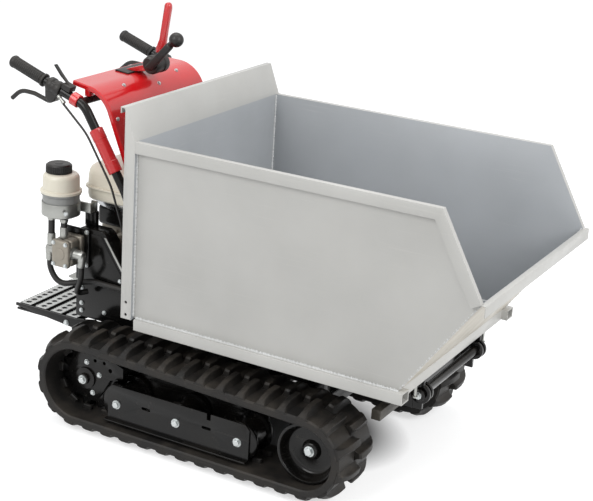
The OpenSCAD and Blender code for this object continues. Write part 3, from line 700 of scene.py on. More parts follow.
def make_rails():
    """Rails, cross tubes, eye bracket and hinge lugs."""
    for node in ("skip_rails", "skip_cross_tubes", "skip_eye_bracket"):
        solid_piece(node, "skip", "silver_paint", size("tube_edge"))
    solid_piece("skip_hinge_lugs", "skip", "black_paint", size("tube_edge"))


def make_welds():
    """Weld beads along the floor and the corners, inside and out, in a lighter grey that is a painted
    highlight.
    """
    spots = []
    for y in (-INNER_WELD, INNER_WELD):
        spots += weld_spots((0, y, 358.5), (750, y, 358.5)) + weld_spots((757, y, 361), (938, y, 619))
        spots += weld_spots((-7.5, y, 362), (-7.5, y, 822))
    for y in (-OUTER_WELD, OUTER_WELD):
        spots += weld_spots((2, y, 355.6), (752, y, 355.6))
        spots += weld_spots((-8, y, 362), (-8, y, 796))
    spots += weld_spots((-7.4, -330, 358.6), (-7.4, 330, 358.6))
    bm = bmesh.new()
    ripple = bmesh.new()
    bmesh.ops.create_icosphere(ripple, subdivisions=1, radius=1.0)
    add_repeats(bm, ripple, spots, "silver_paint")
    welds = piece("skip_welds", bm, "skip", "silver_paint", sharp=80)
    # The beads' lighter grey is a painted highlight
    welds.data.materials[0] = finish("silver_paint", "weld_highlight")


class DUMPER_OT_skip(bpy.types.Operator):
    """Makes the skip's sheets, rails and weld beads"""
    bl_idname = "dumper.skip"
    bl_label = "Skip"

    def execute(self, context):
        make_sheets()
        make_rails()
        make_welds()
        return {"FINISHED"}


class DUMPER_OT_tipping(bpy.types.Operator):
    """Makes the hydraulic cylinder, its rod and the pivots"""
    bl_idname = "dumper.tipping"
    bl_label = "Tipping gear"

    def execute(self, context):
        solid_piece("cylinder_barrel", "barrel", "black_paint", 1.2)
        solid_piece("cylinder_rod", "rod", "rod_chrome", 1.0)
        solid_piece("pivot_shaft", "chassis", "black_paint", 1.2)
        solid_piece("cylinder_anchor", "chassis", "black_paint", 1.5)
        return {"FINISHED"}


# Chassis and tracks

def make_frame():
    """Frame, deck, gearbox and track frames."""
    for node, slot, width in (
        ("chassis_frame", "black_paint", size("plate_edge")),
        ("engine_deck", "zinc", 1.2),
        ("deck_side_plates", "black_paint", 1.2),
        ("gearbox", "black_paint", 8),
        ("axle_housings", "black_paint", 3),
        ("track_frames", "black_paint", 1.5),
        ("roller_guards", "black_paint", 1.0),
        ("sprockets", "black_paint", 2.0),
    ):
        solid_piece(node, "chassis", slot, width)


def make_front_beam():
    """Dusty square tube between the tracks, with its end caps."""
    bm = bmesh.new()
    add_solid(bm, "front_beam", size("tube_edge"))
    for y in (-209, 209):
        add_box(bm, (630, y - 1.4, 195), (652, y + 1.4, 219), 0.8, 2)
    beam = piece("front_beam_capped", bm, "chassis", "black_paint", "front_beam")
    beam.data.materials[0] = finish("black_paint", "dusty_paint")


def make_belt_cover():
    """Belt cover with its pressed panel and pale stripe."""
    bm = bmesh.new()
    add_outline(bm, [(-296, DECK_TOP), (-296, 490), (-291, 503), (-278, 511), (-210, 511), (-198, 504),
                     (-124, 399), (-120, 388), (-120, DECK_TOP)], -214, -166, 3.5)
    add_outline(bm, [(-284, 372), (-284, 488), (-274, 499), (-212, 499), (-134, 388), (-134, 372)],
                -216, -212, 1.8)
    piece("belt_cover_shell", bm, "chassis", "black_paint", "belt_cover")
    bm = bmesh.new()
    add_outline(bm, [(-203, 496), (-195, 496), (-126, 398), (-126, 388)], -215, -213.4, 0.4)
    piece("belt_cover_stripe", bm, "chassis", "zinc")


class DUMPER_OT_chassis(bpy.types.Operator):
    """Makes the frame, the deck, the gearbox and the belt cover"""
    bl_idname = "dumper.chassis"
    bl_label = "Chassis"

    def execute(self, context):
        make_frame()
        make_front_beam()
        make_belt_cover()
        return {"FINISHED"}


def belt_run(count, offset):
    """Points of the belt's inner face with their outward angles, evenly spaced along the belt's middle."""
    sx, sz, sr = SPROCKET
    ix, iz, ir = IDLER
    span = math.hypot(ix - sx, iz - sz)
    top = math.pi / 2 - math.asin((sr - ir) / span) + math.asin((iz - sz) / span)
    rear, front = 1.5 * math.pi - top, top + math.pi / 2
    upper = math.sqrt(span ** 2 - (sr - ir) ** 2)
    parts = [(sr + BELT / 2) * rear, upper, (ir + BELT / 2) * front, ix - sx]
    total = sum(parts)

    def spot(s):
        if s < parts[0]:
            a = 1.5 * math.pi - rear * s / parts[0]
            return sx + sr * math.cos(a), sz + sr * math.sin(a), a
        s -= parts[0]
        if s < parts[1]:
            t = s / parts[1]
            x, z, r = (p + (q - p) * t for p, q in zip(SPROCKET, IDLER))
            return x + r * math.cos(top), z + r * math.sin(top), top
        s -= parts[1]
        if s < parts[2]:
            a = top - front * s / parts[2]
            return ix + ir * math.cos(a), iz + ir * math.sin(a), a
        return ix - (s - parts[2]), iz - ir, 1.5 * math.pi

    return [spot(((i + offset) % count) * total / count) for i in range(count)]


def belt_turn(outward, across):
    """The turn that points a shape's Z out of the belt and its Y across it."""
    wide = Vector((0, across, 0))
    return Matrix((wide.cross(outward), wide, outward)).transposed().to_euler()


def add_belt(bm, side):
    """The belt's band round the whole loop."""
    half = [(60, 0), (87, 1), (90, 5), (90, 19), (85, 23), (60, BELT)]
    section = half + [(-w, d) for w, d in reversed(half)]
    rings = []
    for x, z, a in belt_run(LUGS * 8, 0):
        places = (at(x + d * math.cos(a), side * TRACK_Y + w, z + d * math.sin(a)) for w, d in section)
        rings.append([bm.verts.new(place) for place in places])
    for ring, after in zip(rings, rings[1:] + rings[:1]):
        bridge(bm, ring, after)


def lug_shape():
    """A rubber lug lofted across the belt: scooped flanks, high at the middle, sloping to the belt's edge."""
    bm = bmesh.new()
    foot = size("lug_length") / 2
    top = foot - size("lug_taper")
    rows = []
    for y, high, share in ((-6, 14, 0.75), (-2, 19, 0.9), (4, 20, 1), (34, 20, 1), (56, 17.5, 0.9),
                           (74, 11.5, 0.95), (LUG_END - 5, 6, 1.15), (LUG_END, 2, 1.25)):
        half = top * share
        scoop = foot - half
        flank = [(foot, -4), (half + scoop * 0.4, high * 0.2), (half + scoop * 0.12, high * 0.55),
                 (half, high - 1.6), (half - 1.6, high)]
        section = flank + [(-x, z) for x, z in reversed(flank)]
        rows.append([bm.verts.new((x / 1000, y / 1000, z / 1000)) for x, z in section])
    for row, after in zip(rows, rows[1:]):
        bridge(bm, row, after)
    bm.faces.new(rows[0])
    bm.faces.new(rows[-1][::-1])
    bmesh.ops.recalc_face_normals(bm, faces=bm.faces)
    return bm


def add_lugs(bm, side):
    """Two rows of lugs, half a pitch apart."""
    for phase, across in ((0.25, side), (0.75, -side)):
        spots = []
        for x, z, a in belt_run(LUGS, phase):
            outward = Vector((math.cos(a), 0, math.sin(a)))
            place = at(x, side * TRACK_Y, z) + outward * BELT / 1000
            spots.append((place, belt_turn(outward, across), (1, 1, 1)))
        add_repeats(bm, lug_shape(), spots, "track_rubber")


def add_horns(bm, side):
    """Guide horns inside the belt, except where it goes round the idler."""
    spots = []
    for x, z, a in belt_run(LUGS, 0):
        if x < IDLER[0] - 100:
            outward = Vector((math.cos(a), 0, math.sin(a)))
            for y in (-HORN_Y, HORN_Y):
                place = at(x, side * TRACK_Y + y, z) - outward * HORN_DEPTH / 1000
                spots.append((place, belt_turn(outward, 1), (1, 1, 1)))
    horn = cube_shape()
    bmesh.ops.scale(horn, vec=HORN_SIZE, verts=horn.verts)
    ease(horn, horn.edges[:], 0.002, 1)
    add_repeats(bm, horn, spots, "track_rubber")


def make_tracks():
    """Both rubber tracks."""
    for side, name in ((-1, "right"), (1, "left")):
        bm = bmesh.new()
        add_belt(bm, side)
        add_lugs(bm, side)
        add_horns(bm, side)
        piece("track_" + name + "_rubber", bm, "chassis", "track_rubber", "track_" + name)


def make_wheels():
    """Dished idlers and double-rimmed bottom rollers."""
    dish = [(-60, 0), (-60, 79), (-57, 83), (56, 83), (59, 81.5), (60, 79), (60, 75), (57, 72.5),
            (44, 71), (40, 69), (30, 66), (26, 61), (25, 54), (25, 36), (27, 27), (33, 24), (38, 20.5),
            (40, 17), (40, 0)]
    rim = [(26, 40), (29, 42), (31, 51), (34, 53), (40, 53), (42, 52), (45, 46), (45, 0)]
    double_rim = [(-y, r) for y, r in reversed(rim)] + rim
    idlers, rollers = bmesh.new(), bmesh.new()
    for side in (-1, 1):
        add_turned(idlers, (IDLER[0], side * TRACK_Y, IDLER[1]), (0, side, 0), dish, 72)
        for x, z in ROLLERS:
            add_turned(rollers, (x, side * TRACK_Y, z), (0, side, 0), double_rim, 56)
    piece("idler_wheels", idlers, "chassis", "black_paint", "idlers", sharp=40)
    piece("bottom_rollers", rollers, "chassis", "black_paint", "rollers", sharp=40)


class DUMPER_OT_tracks(bpy.types.Operator):
    """Makes the rubber tracks with staggered lugs, the idlers and the rollers"""
    bl_idname = "dumper.tracks"
    bl_label = "Tracks"

    def execute(self, context):
        make_tracks()
        make_wheels()
        return {"FINISHED"}


# Engine and hydraulics

def ribs_round(bm, x, y, low, high, radius, count, slot):
    """Grip ribs round an upright cap."""
    rib = cube_shape()
    ease(rib, [e for e in rib.edges if abs(e.verts[0].co.z - e.verts[1].co.z) > 0.5], 0.3, 1)
    spots = []
    for a in around(count):
        place = at(x + radius * math.cos(a), y + radius * math.sin(a), (low + high) / 2)
        spots.append((place, (0, 0, a), (0.0035, 0.0036, (high - low) / 1000)))
    add_repeats(bm, rib, spots, slot)


def add_tank(bm):
    """The fuel tank: round-cornered layers with a welded seam and a crowned top."""
    rings = []
    (left, low), (right, high) = TANK_LOW, TANK_HIGH
    for z, inset in ((575, 16), (577, 8), (582, 2), (592, 0), (610.5, 0), (611, -5), (612, -6), (616, -6),
                     (617, -5), (617.5, 0), (645, 1), (660, 4), (669, 9), (675, 16), (678, 26), (679, 40)):
        ring = []
        r = 34 - min(inset, 10) * 0.8
        reach = inset + r
        for cx, cy, first in ((right - reach, high - reach, 0), (left + reach, high - reach, 90),
                              (left + reach, low + reach, 180), (right - reach, low + reach, 270)):
            for k in range(9):
                a = math.radians(first + 11.25 * k)
                ring.append(bm.verts.new(at(cx + r * math.cos(a), cy + r * math.sin(a), z)))
        rings.append(ring)
    for ring, after in zip(rings, rings[1:]):
        bridge(bm, ring, after)
    bm.faces.new(rings[0][::-1])
    bm.faces.new(rings[-1])


def guard_bars():
    """Bars of the silencer's guard: its front, its right side and its top, each with two rims."""
    bars = [(at(-75.5, -143 + 9.7 * i, 535), (0.003, 0.005, 0.058)) for i in range(13)]
    bars += [(at(-75.5, -85, 535 + s * 31), (0.003, 0.126, 0.008)) for s in (-1, 1)]
    bars += [(at(-151 + 9 * i, -151, 535), (0.005, 0.003, 0.058)) for i in range(9)]
    bars += [(at(-115, -151, 535 + s * 31), (0.08, 0.003, 0.008)) for s in (-1, 1)]
    bars += [(at(-115, -143 + 9.7 * i, 570.5), (0.074, 0.005, 0.003)) for i in range(13)]
    bars += [(at(-115 + s * 37, -85, 570.5), (0.008, 0.126, 0.003)) for s in (-1, 1)]
    return [(place, (0, 0, 0), form) for place, form in bars]


def make_engine_block():
    """Crankcase, finned cylinder and fan shroud."""
    x, z = FAN
    bm = bmesh.new()
    add_box(bm, (-290, -110, DECK_TOP), (-120, 60, 500), 10, 4)
    add_turned(bm, (x, -110, z - 10), RIGHT, [
        (-4, 0), (-4, 44), (4, 44), (8, 36), (54, 34), (56, 31), (56, 0)])
    for rib in (-262, -234, -176, -148):
        add_box(bm, (rib - 3, -116, 372), (rib + 3, -104, 486), 2, 2)
    piece("engine_case", bm, "chassis", "cast_alloy", "engine_crankcase")
    solid_piece("engine_cylinder", "chassis", "cast_alloy", 1.2)
    bm = bmesh.new()
    add_box(bm, (-290, 60, 370), (-158, 130, 560), 14, 4)
    add_turned(bm, (x, 130, z), LEFT, [
        (-6, 0), (-6, 85), (14, 85), (22, 80), (26, 66), (28, 44), (33, 40), (35, 36), (35, 0)], 64)
    vanes = [(at(x + 55 * math.cos(a), 157.5, z + 55 * math.sin(a)), (0, -a, 0), (0.026, 0.007, 0.004))
             for a in around(24)]
    add_repeats(bm, cube_shape(), vanes, "black_paint")
    piece("engine_fan_shroud", bm, "chassis", "black_paint", "engine_shroud")


def make_fuel_tank():
    """Fuel tank with its saddle, bracket and cap."""
    bm = bmesh.new()
    add_tank(bm)
    add_turned(bm, (*TANK_CAP, 674), UP, [(0, 0), (0, 33), (6, 32), (10, 28), (10, 0)])
    piece("fuel_tank_shell", bm, "chassis", "cream_plastic", "fuel_tank")
    feet = [((-246, y - 8, 552), (-172, y + 8, 576), 3, 2) for y in (-124, -36, 46)]
    box_piece("fuel_tank_saddle", "black_paint", [((-288, -130, 498), (-160, 62, 556), 12, 4), *feet])
    bm = bmesh.new()
    for y in (-146, -88):
        gusset = [(-292, 575.5), (-150, 575.5), (-166, 561), (-206, 549), (-270, 561)]
        add_outline(bm, gusset, y, y + 3, 0.8)
    add_box(bm, (-292, -150, 573), (-160, -84, 575.6), 0.8, 2)
    piece("fuel_tank_bracket", bm, "chassis", "rod_chrome")
    bm = bmesh.new()
    add_turned(bm, (*TANK_CAP, 684), UP, [(0, 0), (0, 27), (11, 27), (14, 25), (16, 20), (16, 0)])
    ribs_round(bm, *TANK_CAP, 685, 695, 27, 30, "black_plastic")
    piece("fuel_cap", bm, "chassis", "black_plastic")


def make_silencer():
    """Silencer and its barred guard."""
    box_piece("silencer_body", "black_paint", [((-153, -148, 500), (-79, -22, 568), 12, 4)], "muffler")
    bm = bmesh.new()
    add_repeats(bm, cube_shape(), guard_bars(), "rod_chrome")
    piece("silencer_guard", bm, "chassis", "rod_chrome")


def make_air_cleaner():
    """Air cleaner with its lid and knob."""
    bm = bmesh.new()
    add_box(bm, (-155, 0, 500), (-75, 130, 552), 12, 4)
    add_box(bm, (-156, -1, 548), (-74, 131, 570), 9, 4)
    add_turned(bm, (-115, 65, 568), UP, [(0, 0), (0, 12), (4, 12), (6, 10), (6, 0)], 24)
    piece("air_cleaner_box", bm, "chassis", "black_plastic", "air_cleaner")


class DUMPER_OT_engine(bpy.types.Operator):
    """Makes the engine, its silencer, air cleaner and fuel tank"""
    bl_idname = "dumper.engine"
    bl_label = "Engine"

    def execute(self, context):
        make_engine_block()
        make_fuel_tank()
        make_silencer()
        make_air_cleaner()
        return {"FINISHED"}


def make_reservoir():
    """Oil reservoir in two halves with its ribbed cap, bracket and post."""
    x, y = RESERVOIR
    bm = bmesh.new()
    add_turned(bm, (x, y, 611), UP, [
        (0, 0), (0, 54), (1, 56), (7, 56), (8, 54), (9, 50), (42, 49.4), (47, 48), (51, 45), (53.3, 41),
        (54, 34), (54, 0)], 64)
    add_turned(bm, (x - 8, y, 657), UP, [(0, 0), (0, 30), (9, 30), (9, 0)])
    piece("reservoir_upper", bm, "chassis", "cream_plastic", "reservoir_top")
    bm = bmesh.new()
    add_turned(bm, (x, y, 545), UP, [
        (0, 0), (0, 42), (3, 47), (8, 50), (60, 50), (62, 54), (66, 54), (66, 0)], 64)
    piece("reservoir_lower", bm, "chassis", "grey_plastic", "reservoir_base")
    bm = bmesh.new()
    add_turned(bm, (x - 8, y, 665), UP, [
        (0, 0), (0, 33.5), (20, 33.5), (23.5, 31), (25, 27), (23.5, 12), (25, 9), (25, 0)], 56)
    ribs_round(bm, x - 8, y, 666, 685, 33.6, 40, "black_plastic")
    piece("reservoir_filler_cap", bm, "chassis", "black_plastic", "reservoir_cap")
    solid_piece("reservoir_bracket", "chassis", "zinc", 0.8)
    box_piece("reservoir_post", "black_paint", [((x + 36, -190, 508), (x + 74, -174, 554), 4, 3)])


def make_pump():
    """Gear pump on its plate, with unions and hoses."""
    x, z = PUMP
    y = UNION_Y
    box_piece("gear_pump_plate", "black_paint", [((x - 40, -224, z - 50), (x + 44, -214, z + 58), 4, 3)])
    bm = bmesh.new()
    add_box(bm, (x - 32, -242, z - 42), (x + 32, -223, z + 42), 6, 3)
    add_box(bm, (x - 28, -279, z - 38), (x + 28, -241, z + 38), 9, 4)
    add_box(bm, (x - 29, -296, z - 39), (x + 29, -278, z + 39), 9, 4)
    add_turned(bm, (x, -296, z), RIGHT, [(-2, 0), (-2, 17), (1, 17), (2, 15), (2, 0)], 32)
    piece("gear_pump_body", bm, "chassis", "cast_alloy", "gear_pump")
    supply = [(x - 48, z + 12), (x - 6, z + 37)]
    drops = [
        [(x + 53, y, z - 6), (x + 53, y, z - 66), (x + 22, -248, z - 122), (x + 40, -220, 332)],
        [(x - 53, y, z - 6), (x - 53, y, z - 62), (x - 20, y, z - 98), (x + 60, -224, 367),
         (-100, -218, 362)],
    ]
    bm = bmesh.new()
    for s in (-1, 1):
        add_turned(bm, (x + s * 26, y, z), (s, 0, 0), [
            (0, 0), (0, 19), (5, 19), (6, 17), (8, 14), (20, 13), (28, 13), (34, 11), (36, 8),
            (36, 0)], 24)
    for hose, foot in supply:
        for first, way, reach in ((544, DOWN, 10), (foot, UP, 32)):
            add_turned(bm, (hose, y, first), way, [
                (0, 0), (0, 11), (3, 11.6), (reach - 3, 11.2), (reach, 10), (reach, 0)], 24)
    for run in drops:
        add_turned(bm, run[0], DOWN, [
            (-6, 0), (-6, 12), (8, 12), (9, 11), (26, 10.6), (28, 9.4), (28, 0)], 24)
    piece("pump_unions", bm, "chassis", "zinc", "pump_fittings")
    bm = bmesh.new()
    straight = [[(hose, y, 545), (hose, y, foot)] for hose, foot in supply]
    for runs, radius in ((drops, 8), (straight, 9)):
        add_pipes(bm, [rounded_path(r, size("hose_bend")) for r in runs], radius, "hose_rubber")
    piece("hydraulic_hose_runs", bm, "chassis", "hose_rubber", "hydraulic_hoses", sharp=60)


class DUMPER_OT_hydraulics(bpy.types.Operator):
    """Makes the reservoir, the gear pump and the hoses"""
    bl_idname = "dumper.hydraulics"
    bl_label = "Hydraulics"

    def execute(self, context):
        make_reservoir()
        make_pump()
        return {"FINISHED"}


# Platform, handles and console

def make_treads():
    """Pale treads with toothed holes and edges, and flanks painted black as painted shade in the gaps between
    the treads.
    """
    bm = bmesh.new()
    add_solid(bm, "platform_slats", 0.5, 1)
    tooth = bmesh.new()
    bmesh.ops.create_cone(tooth, cap_ends=True, segments=5, radius1=0.5, radius2=0.15, depth=1.0)
    spots = []
    for x in TREADS:
        for k in range(-8, 8):
            for a in around(8):
                y = (k + 0.5) * HOLE_PITCH + HOLE_RING * math.sin(a)
                spots.append((at(x + HOLE_RING * math.cos(a), y, 233), (0, 0, a), (0.004, 0.003, 0.003)))
        for edge in (x - TREAD_EDGE, x + TREAD_EDGE):
            for k in range(39):
                spots.append((at(edge, -190 + 10 * k, 232.6), (0, 0, 0), (0.003, 0.009, 0.0036)))
    add_repeats(bm, tooth, spots, "zinc")
    treads = piece("platform_treads", bm, "chassis", "zinc", "platform_slats")
    treads.data.materials[0] = finish("silver_paint", "tread_zinc")
    # Painted shade: the flanks below the tread tops get black paint so that the gaps between treads look dark
    treads.data.materials.append(finish("black_paint"))
    for face in treads.data.polygons:
        if face.normal.z < 0.3 and face.center.z < TREAD_TOP / 1000:
            face.material_index = 1


class DUMPER_OT_platform(bpy.types.Operator):
    """Makes the serrated foot platform"""
    bl_idname = "dumper.platform"
    bl_label = "Foot platform"

    def execute(self, context):
        make_treads()
        solid_piece("platform_sides", "chassis", "black_paint", 1.0)
        return {"FINISHED"}


def both_runs(points, radius, steps):
    """Eased runs through the points of the right handle and through their mirror images."""
    return [rounded_path([on_side(p, s) for p in points], radius, steps) for s in (1, -1)]


def add_both(bm, start, axis, profile, sides=48):
    """A turned shape on the right handle, with its mirror image."""
    for s in (1, -1):
        add_turned(bm, on_side(start, s), on_side(axis, s), profile, sides)


def grip_spot(along, out, down):
    """A point near the right grip: how far along it from its end, then to the right and down."""
    x, y, z = between(GRIP_END, BAR_BEND, along)
    return x, y - out, z - down


def make_handle_bars():
    """Bent tubes with their foot flanges, and the tube across."""
    bm = bmesh.new()
    run = [GRIP_END, BAR_BEND, BAR_KNEE, BAR_TURN, BAR_FOOT]
    add_pipes(bm, both_runs(run, size("tube_bend"), 14), 12.5, "black_paint", 28)
    add_pipes(bm, [[at(-262, -250, 868), at(-262, 250, 868)]], 10, "black_paint", 24)
    add_both(bm, (*BAR_FOOT[:2], DECK_TOP), UP, [
        (0, 0), (0, 24), (5, 24), (6, 23), (6, 14), (16, 13), (16, 0)])
    piece("handle_bars", bm, "chassis", "black_paint", "handle_tubes", sharp=50)


def make_sleeves():
    """Long red sleeves below the bend and narrow rings before the grips."""
    bm = bmesh.new()
    add_both(bm, between(BAR_BEND, BAR_KNEE, 70), Vector(BAR_KNEE) - Vector(BAR_BEND), [
        (0, 12.6), (0, 17), (2, 19), (30, 19), (31, 18.2), (93, 18.2), (94, 19), (123, 19), (125, 17),
        (125, 12.6)])
    add_both(bm, between(GRIP_END, BAR_BEND, 204), GRIP_WAY, [
        (0, 12.6), (0, 17), (1, 18), (21, 18), (22, 17), (22, 12.6)])
    piece("handle_red_sleeves", bm, "chassis", "red_paint", "handle_sleeves")


def make_grips(count):
    """Rubber grips with a number of ribs."""
    profile = [(-10, 0), (-10, 9), (-8, 14), (-4, 17), (1, 17.4), (5, 16.5), (7, 14.6)]
    for i in range(count):
        t = 9 + i * 88 / count
        profile += [(t, 14.6), (t + 1.2, 16.2), (t + 3.4, 16.2), (t + 4.6, 14.6)]
    profile += [(100, 15.5), (102, 18.5), (107, 18.5), (108, 17), (108, 12.7)]
    bm = bmesh.new()
    add_both(bm, GRIP_END, GRIP_WAY, profile, 36)
    piece("handle_rubber_grips", bm, "chassis", "hose_rubber", "handle_grips", sharp=60)


def make_clutch_levers():
    """Clutch levers on clamps with a shell under each."""
    bm = bmesh.new()
    add_both(bm, between(GRIP_END, BAR_BEND, 122), GRIP_WAY, [
        (0, 12.7), (0, 18), (3, 20.5), (14, 21), (16, 19.5), (26, 19.5), (28, 21), (40, 20.5), (43, 18),
        (43, 12.7)])
    d = GRIP_WAY.normalized()
    shell = [(GRIP_END[0] + d.x * a - d.z * b, GRIP_END[2] + d.z * a + d.x * b)
             for a, b in ((123, 15), (164, 15), (166, -12), (158, -36), (144, -44), (130, -34), (122, -12))]
    for low, high in ((-266, -236), (236, 266)):
        add_outline(bm, shell, low, high, 4)
    lever = [grip_spot(146, 0, 14), grip_spot(130, 0, 48), grip_spot(70, 0, 52), grip_spot(22, 0, 66),
             (GRIP_END[0] - 9, GRIP_END[1], GRIP_END[2] - 100)]
    add_pipes(bm, both_runs(lever, 60, 12), 6, "black_plastic", 16)
    piece("clutch_perches_and_levers", bm, "chassis", "black_plastic", "clutch_levers", sharp=45)


def make_cables():
    """Control cables and the adjusters at their upper ends."""
    bm = bmesh.new()
    add_both(bm, grip_spot(160, 8, 14), (0.8, -0.1, -0.6), [
        (0, 0), (0, 6), (8, 6), (9, 4.5), (18, 4.5), (19, 5.5), (27, 5.5), (28, 3.6), (28, 0)], 20)
    piece("cable_adjusters", bm, "chassis", "zinc")
    bm = bmesh.new()
    cable = [grip_spot(172, 9, 24), (-222, -273.5, 795), (-140, -273.5, 667), (-112, -262, 560),
             (-112, -205, DECK_TOP)]
    add_pipes(bm, both_runs(cable, size("cable_bend"), 12), 3, "hose_rubber", 12)
    piece("control_cable_runs", bm, "chassis", "hose_rubber", "control_cables", sharp=60)


class DUMPER_OT_handles(bpy.types.Operator):
    """Makes the bent handle tubes, grips, levers and cables"""
    bl_idname = "dumper.handles"
    bl_label = "Handles"

    def execute(self, context):
        make_handle_bars()
        make_sleeves()
        make_grips(context.scene.dumper_sizes.grip_ribs)
        make_clutch_levers()
        make_cables()
        solid_piece("throttle_lever", "chassis", "black_plastic", 1.6)
        return {"FINISHED"}


def console_spot(turn, y):
    """A point on the console sheet's bend, by its angle above the horizon."""
    x, z, r = CONSOLE_BEND
    a = math.radians(turn)
    return x + r * math.cos(a), y, z + r * math.sin(a)


def add_console_sheet(bm):
    """The console's bent sheet, with its two long edges turned down and its ends narrower."""
    bend = [at(*console_spot(a, 0)) for a in range(85, 19, -5)]
    path = [at(-312, 0, 913), *bend, at(-120.3, 0, 690.3)]
    last = len(path) - 1
    half = [(75, 0), (150, 0), (222, 0), (225, 3), (225, 12)]
    section = [(-y, drop) for y, drop in reversed(half)] + [(0, 0)] + half
    rows = []
    for i, p in enumerate(path):
        run = (path[min(i + 1, last)] - path[max(i - 1, 0)]).normalized()
        out = Vector((-run.z, 0, run.x))
        inset = 10 if i in (0, last) else 0
        row = []
        for y, drop in section:
            wide = y - math.copysign(inset, y) * (abs(y) > 200)
            row.append(bm.verts.new(p + Vector((0, wide / 1000, 0)) - out * drop / 1000))
        rows.append(row)
    for a, b in zip(rows, rows[1:]):
        for j in range(len(a) - 1):
            bm.faces.new([a[j], a[j + 1], b[j + 1], b[j]])
    bmesh.ops.recalc_face_normals(bm, faces=bm.faces)
    if sum(f.normal.x + f.normal.z for f in bm.faces) < 0:
        bmesh.ops.reverse_faces(bm, faces=bm.faces)
    bmesh.ops.solidify(bm, geom=bm.faces[:], thickness=0.0025)


def make_console_cover():
    """Red console sheet with its two feet."""
    bm = bmesh.new()
    add_console_sheet(bm)
    for y in (-210, 210):
        add_box(bm, (-270, y - 10, 878), (-254, y + 10, 907), 2, 2)
    piece("console_sheet", bm, "chassis", "red_paint", "console_cover", sharp=40)


def make_lever_hub():
    """Black hub of the levers on its plate, and its red stand."""
    x, z = LEVER_HUB
    bm = bmesh.new()
    add_outline(bm, [(-302, 912.4), (-258.6, 909.1), (-258.3, 913), (-301.7, 916.3)], -40, 80, 0.8)
    add_turned(bm, (x, -20, z), LEFT, [
        (0, 0), (0, 22), (2, 25), (6, 26), (20, 26), (22, 24), (38, 24), (40, 26), (54, 26), (58, 25),
        (60, 22), (60, 0)])
    piece("lever_hub", bm, "chassis", "black_plastic", "lever_bracket")
    bm = bmesh.new()
    add_outline(bm, [(-289, 914.5), (-258.5, 912.4), (-210, 921), (-198, 930), (-220, 938)], -10, 30, 1.2)
    piece("lever_stand", bm, "chassis", "red_paint")


def make_drive_lever():
    """Red upright blade of the drive lever."""
    bm = bmesh.new()
    add_outline(bm, [(-214, 966.2), (-190, 966.2), (-187, 992), (-171, 1092), (-172, 1102), (-177, 1108),
                     (-185, 1108), (-190, 1102), (-198, 1004), (-203, 992), (-214, 984)], 22, 38, 5)
    piece("drive_lever_blade", bm, "chassis", "red_paint", "drive_lever", sharp=50)


def make_gear_lever():
    """Leaning gear lever with its ball."""
    x, z = LEVER_HUB
    bm = bmesh.new()
    add_outline(bm, [(-213, 935), (-191, 926), (-125, 1000), (-139, 1014)], -36, -18, 5)
    lean = math.radians(48)
    ball = [math.radians(-52 + 142 * i / 14) for i in range(14)]
    knob = [(-30, 0), (-30, 9), (-19, 9), (-17, 10.5)]
    knob += [(20 * math.sin(a), 20 * math.cos(a)) for a in ball] + [(20, 0)]
    add_turned(bm, (-115, -26, 1023), Vector((math.sin(lean), 0, math.cos(lean))), knob, 40)
    add_turned(bm, (x, -20, z + 5), RIGHT, [(0, 0), (0, 18), (11, 18), (14, 15), (14, 0)])
    piece("gear_lever_and_ball", bm, "chassis", "black_plastic", "gear_lever", sharp=45)


class DUMPER_OT_console(bpy.types.Operator):
    """Makes the red console sheet and its levers"""
    bl_idname = "dumper.console"
    bl_label = "Console"

    def execute(self, context):
        make_console_cover()
        make_lever_hub()
        make_drive_lever()
        make_gear_lever()
        return {"FINISHED"}


def chassis_bolts():
    """Places of the plated bolts on the chassis."""
    sx, sz, _ = SPROCKET
    ix, iz, _ = IDLER
    fx, fy, _ = BAR_FOOT
    px, pz = PUMP
    right = [(x, -357, z, RIGHT, 13) for x, z in ROLLERS]
    right += [(sx, -355, sz, RIGHT, 13), (ix, -345, iz, RIGHT, 15)]
    for a in map(math.radians, (90, 22, -62)):
        right.append((sx + 45 * math.cos(a), -337, sz + 45 * math.sin(a), RIGHT, 8))
    for x, z in ((-285, 262), (-285, 284), (-207, 272), (-85, 272), (-85, 320), (-285, 330)):
        right.append((x, -200, z, RIGHT, 7))
    right += [(-332, -206, 214, RIGHT, 9), (-250, -206, 216, RIGHT, 9)]
    right += [(x, -150, DECK_TOP, UP, 8) for x in (-312, -75)]
    right.append((PIVOT[0], -198, PIVOT[1], RIGHT, 10))
    for a in (0.8, 2.4, 3.9, 5.5):
        right.append((fx + 17 * math.cos(a), fy + 17 * math.sin(a), 364, UP, 5))
    cover = [(x, -216, z, RIGHT, 6) for x, z in ((-276, 384), (-276, 478), (-146, 384))]
    pump = [(px + x, -296, pz + z, RIGHT, 6.5) for x in (-20, 20) for z in (-30, 30)]
    plate = [(px + x, -224, pz + z, RIGHT, 7) for x in (-34, 37) for z in (-43, 51)]
    strap = [(-262, -180, 568, (1, 0, 0), 6), (-274, -290, 568, (0.7, -0.7, 0), 6)]
    return on_both(right) + cover + pump + plate + strap


def console_screws():
    """Places of the screws on the console's bend and on its sides."""
    screws = []
    for turn, y in ((61, -113), (46, 26), (61, 140)):
        a = math.radians(turn)
        screws.append((*console_spot(turn, y), (math.cos(a), 0, math.sin(a)), 6))
    return screws + [(-171.6, y, 830, (0.9385, 0, 0.3453), 6) for y in (-206, 206)]


def make_stop_bolts():
    """Long bolts under the skip, with their heads down."""
    stops = on_both([(PIVOT[0], -218, 292, DOWN, 7)])
    bm = bmesh.new()
    for x, y, z, _, _ in stops:
        add_turned(bm, (x, y, z), UP, [(0, 0), (0, 4), (32, 4), (32, 7), (33, 7), (33, 0)], 20)
    add_bolts(bm, stops)
    piece("skip_stop_bolts", bm, "skip", "zinc")


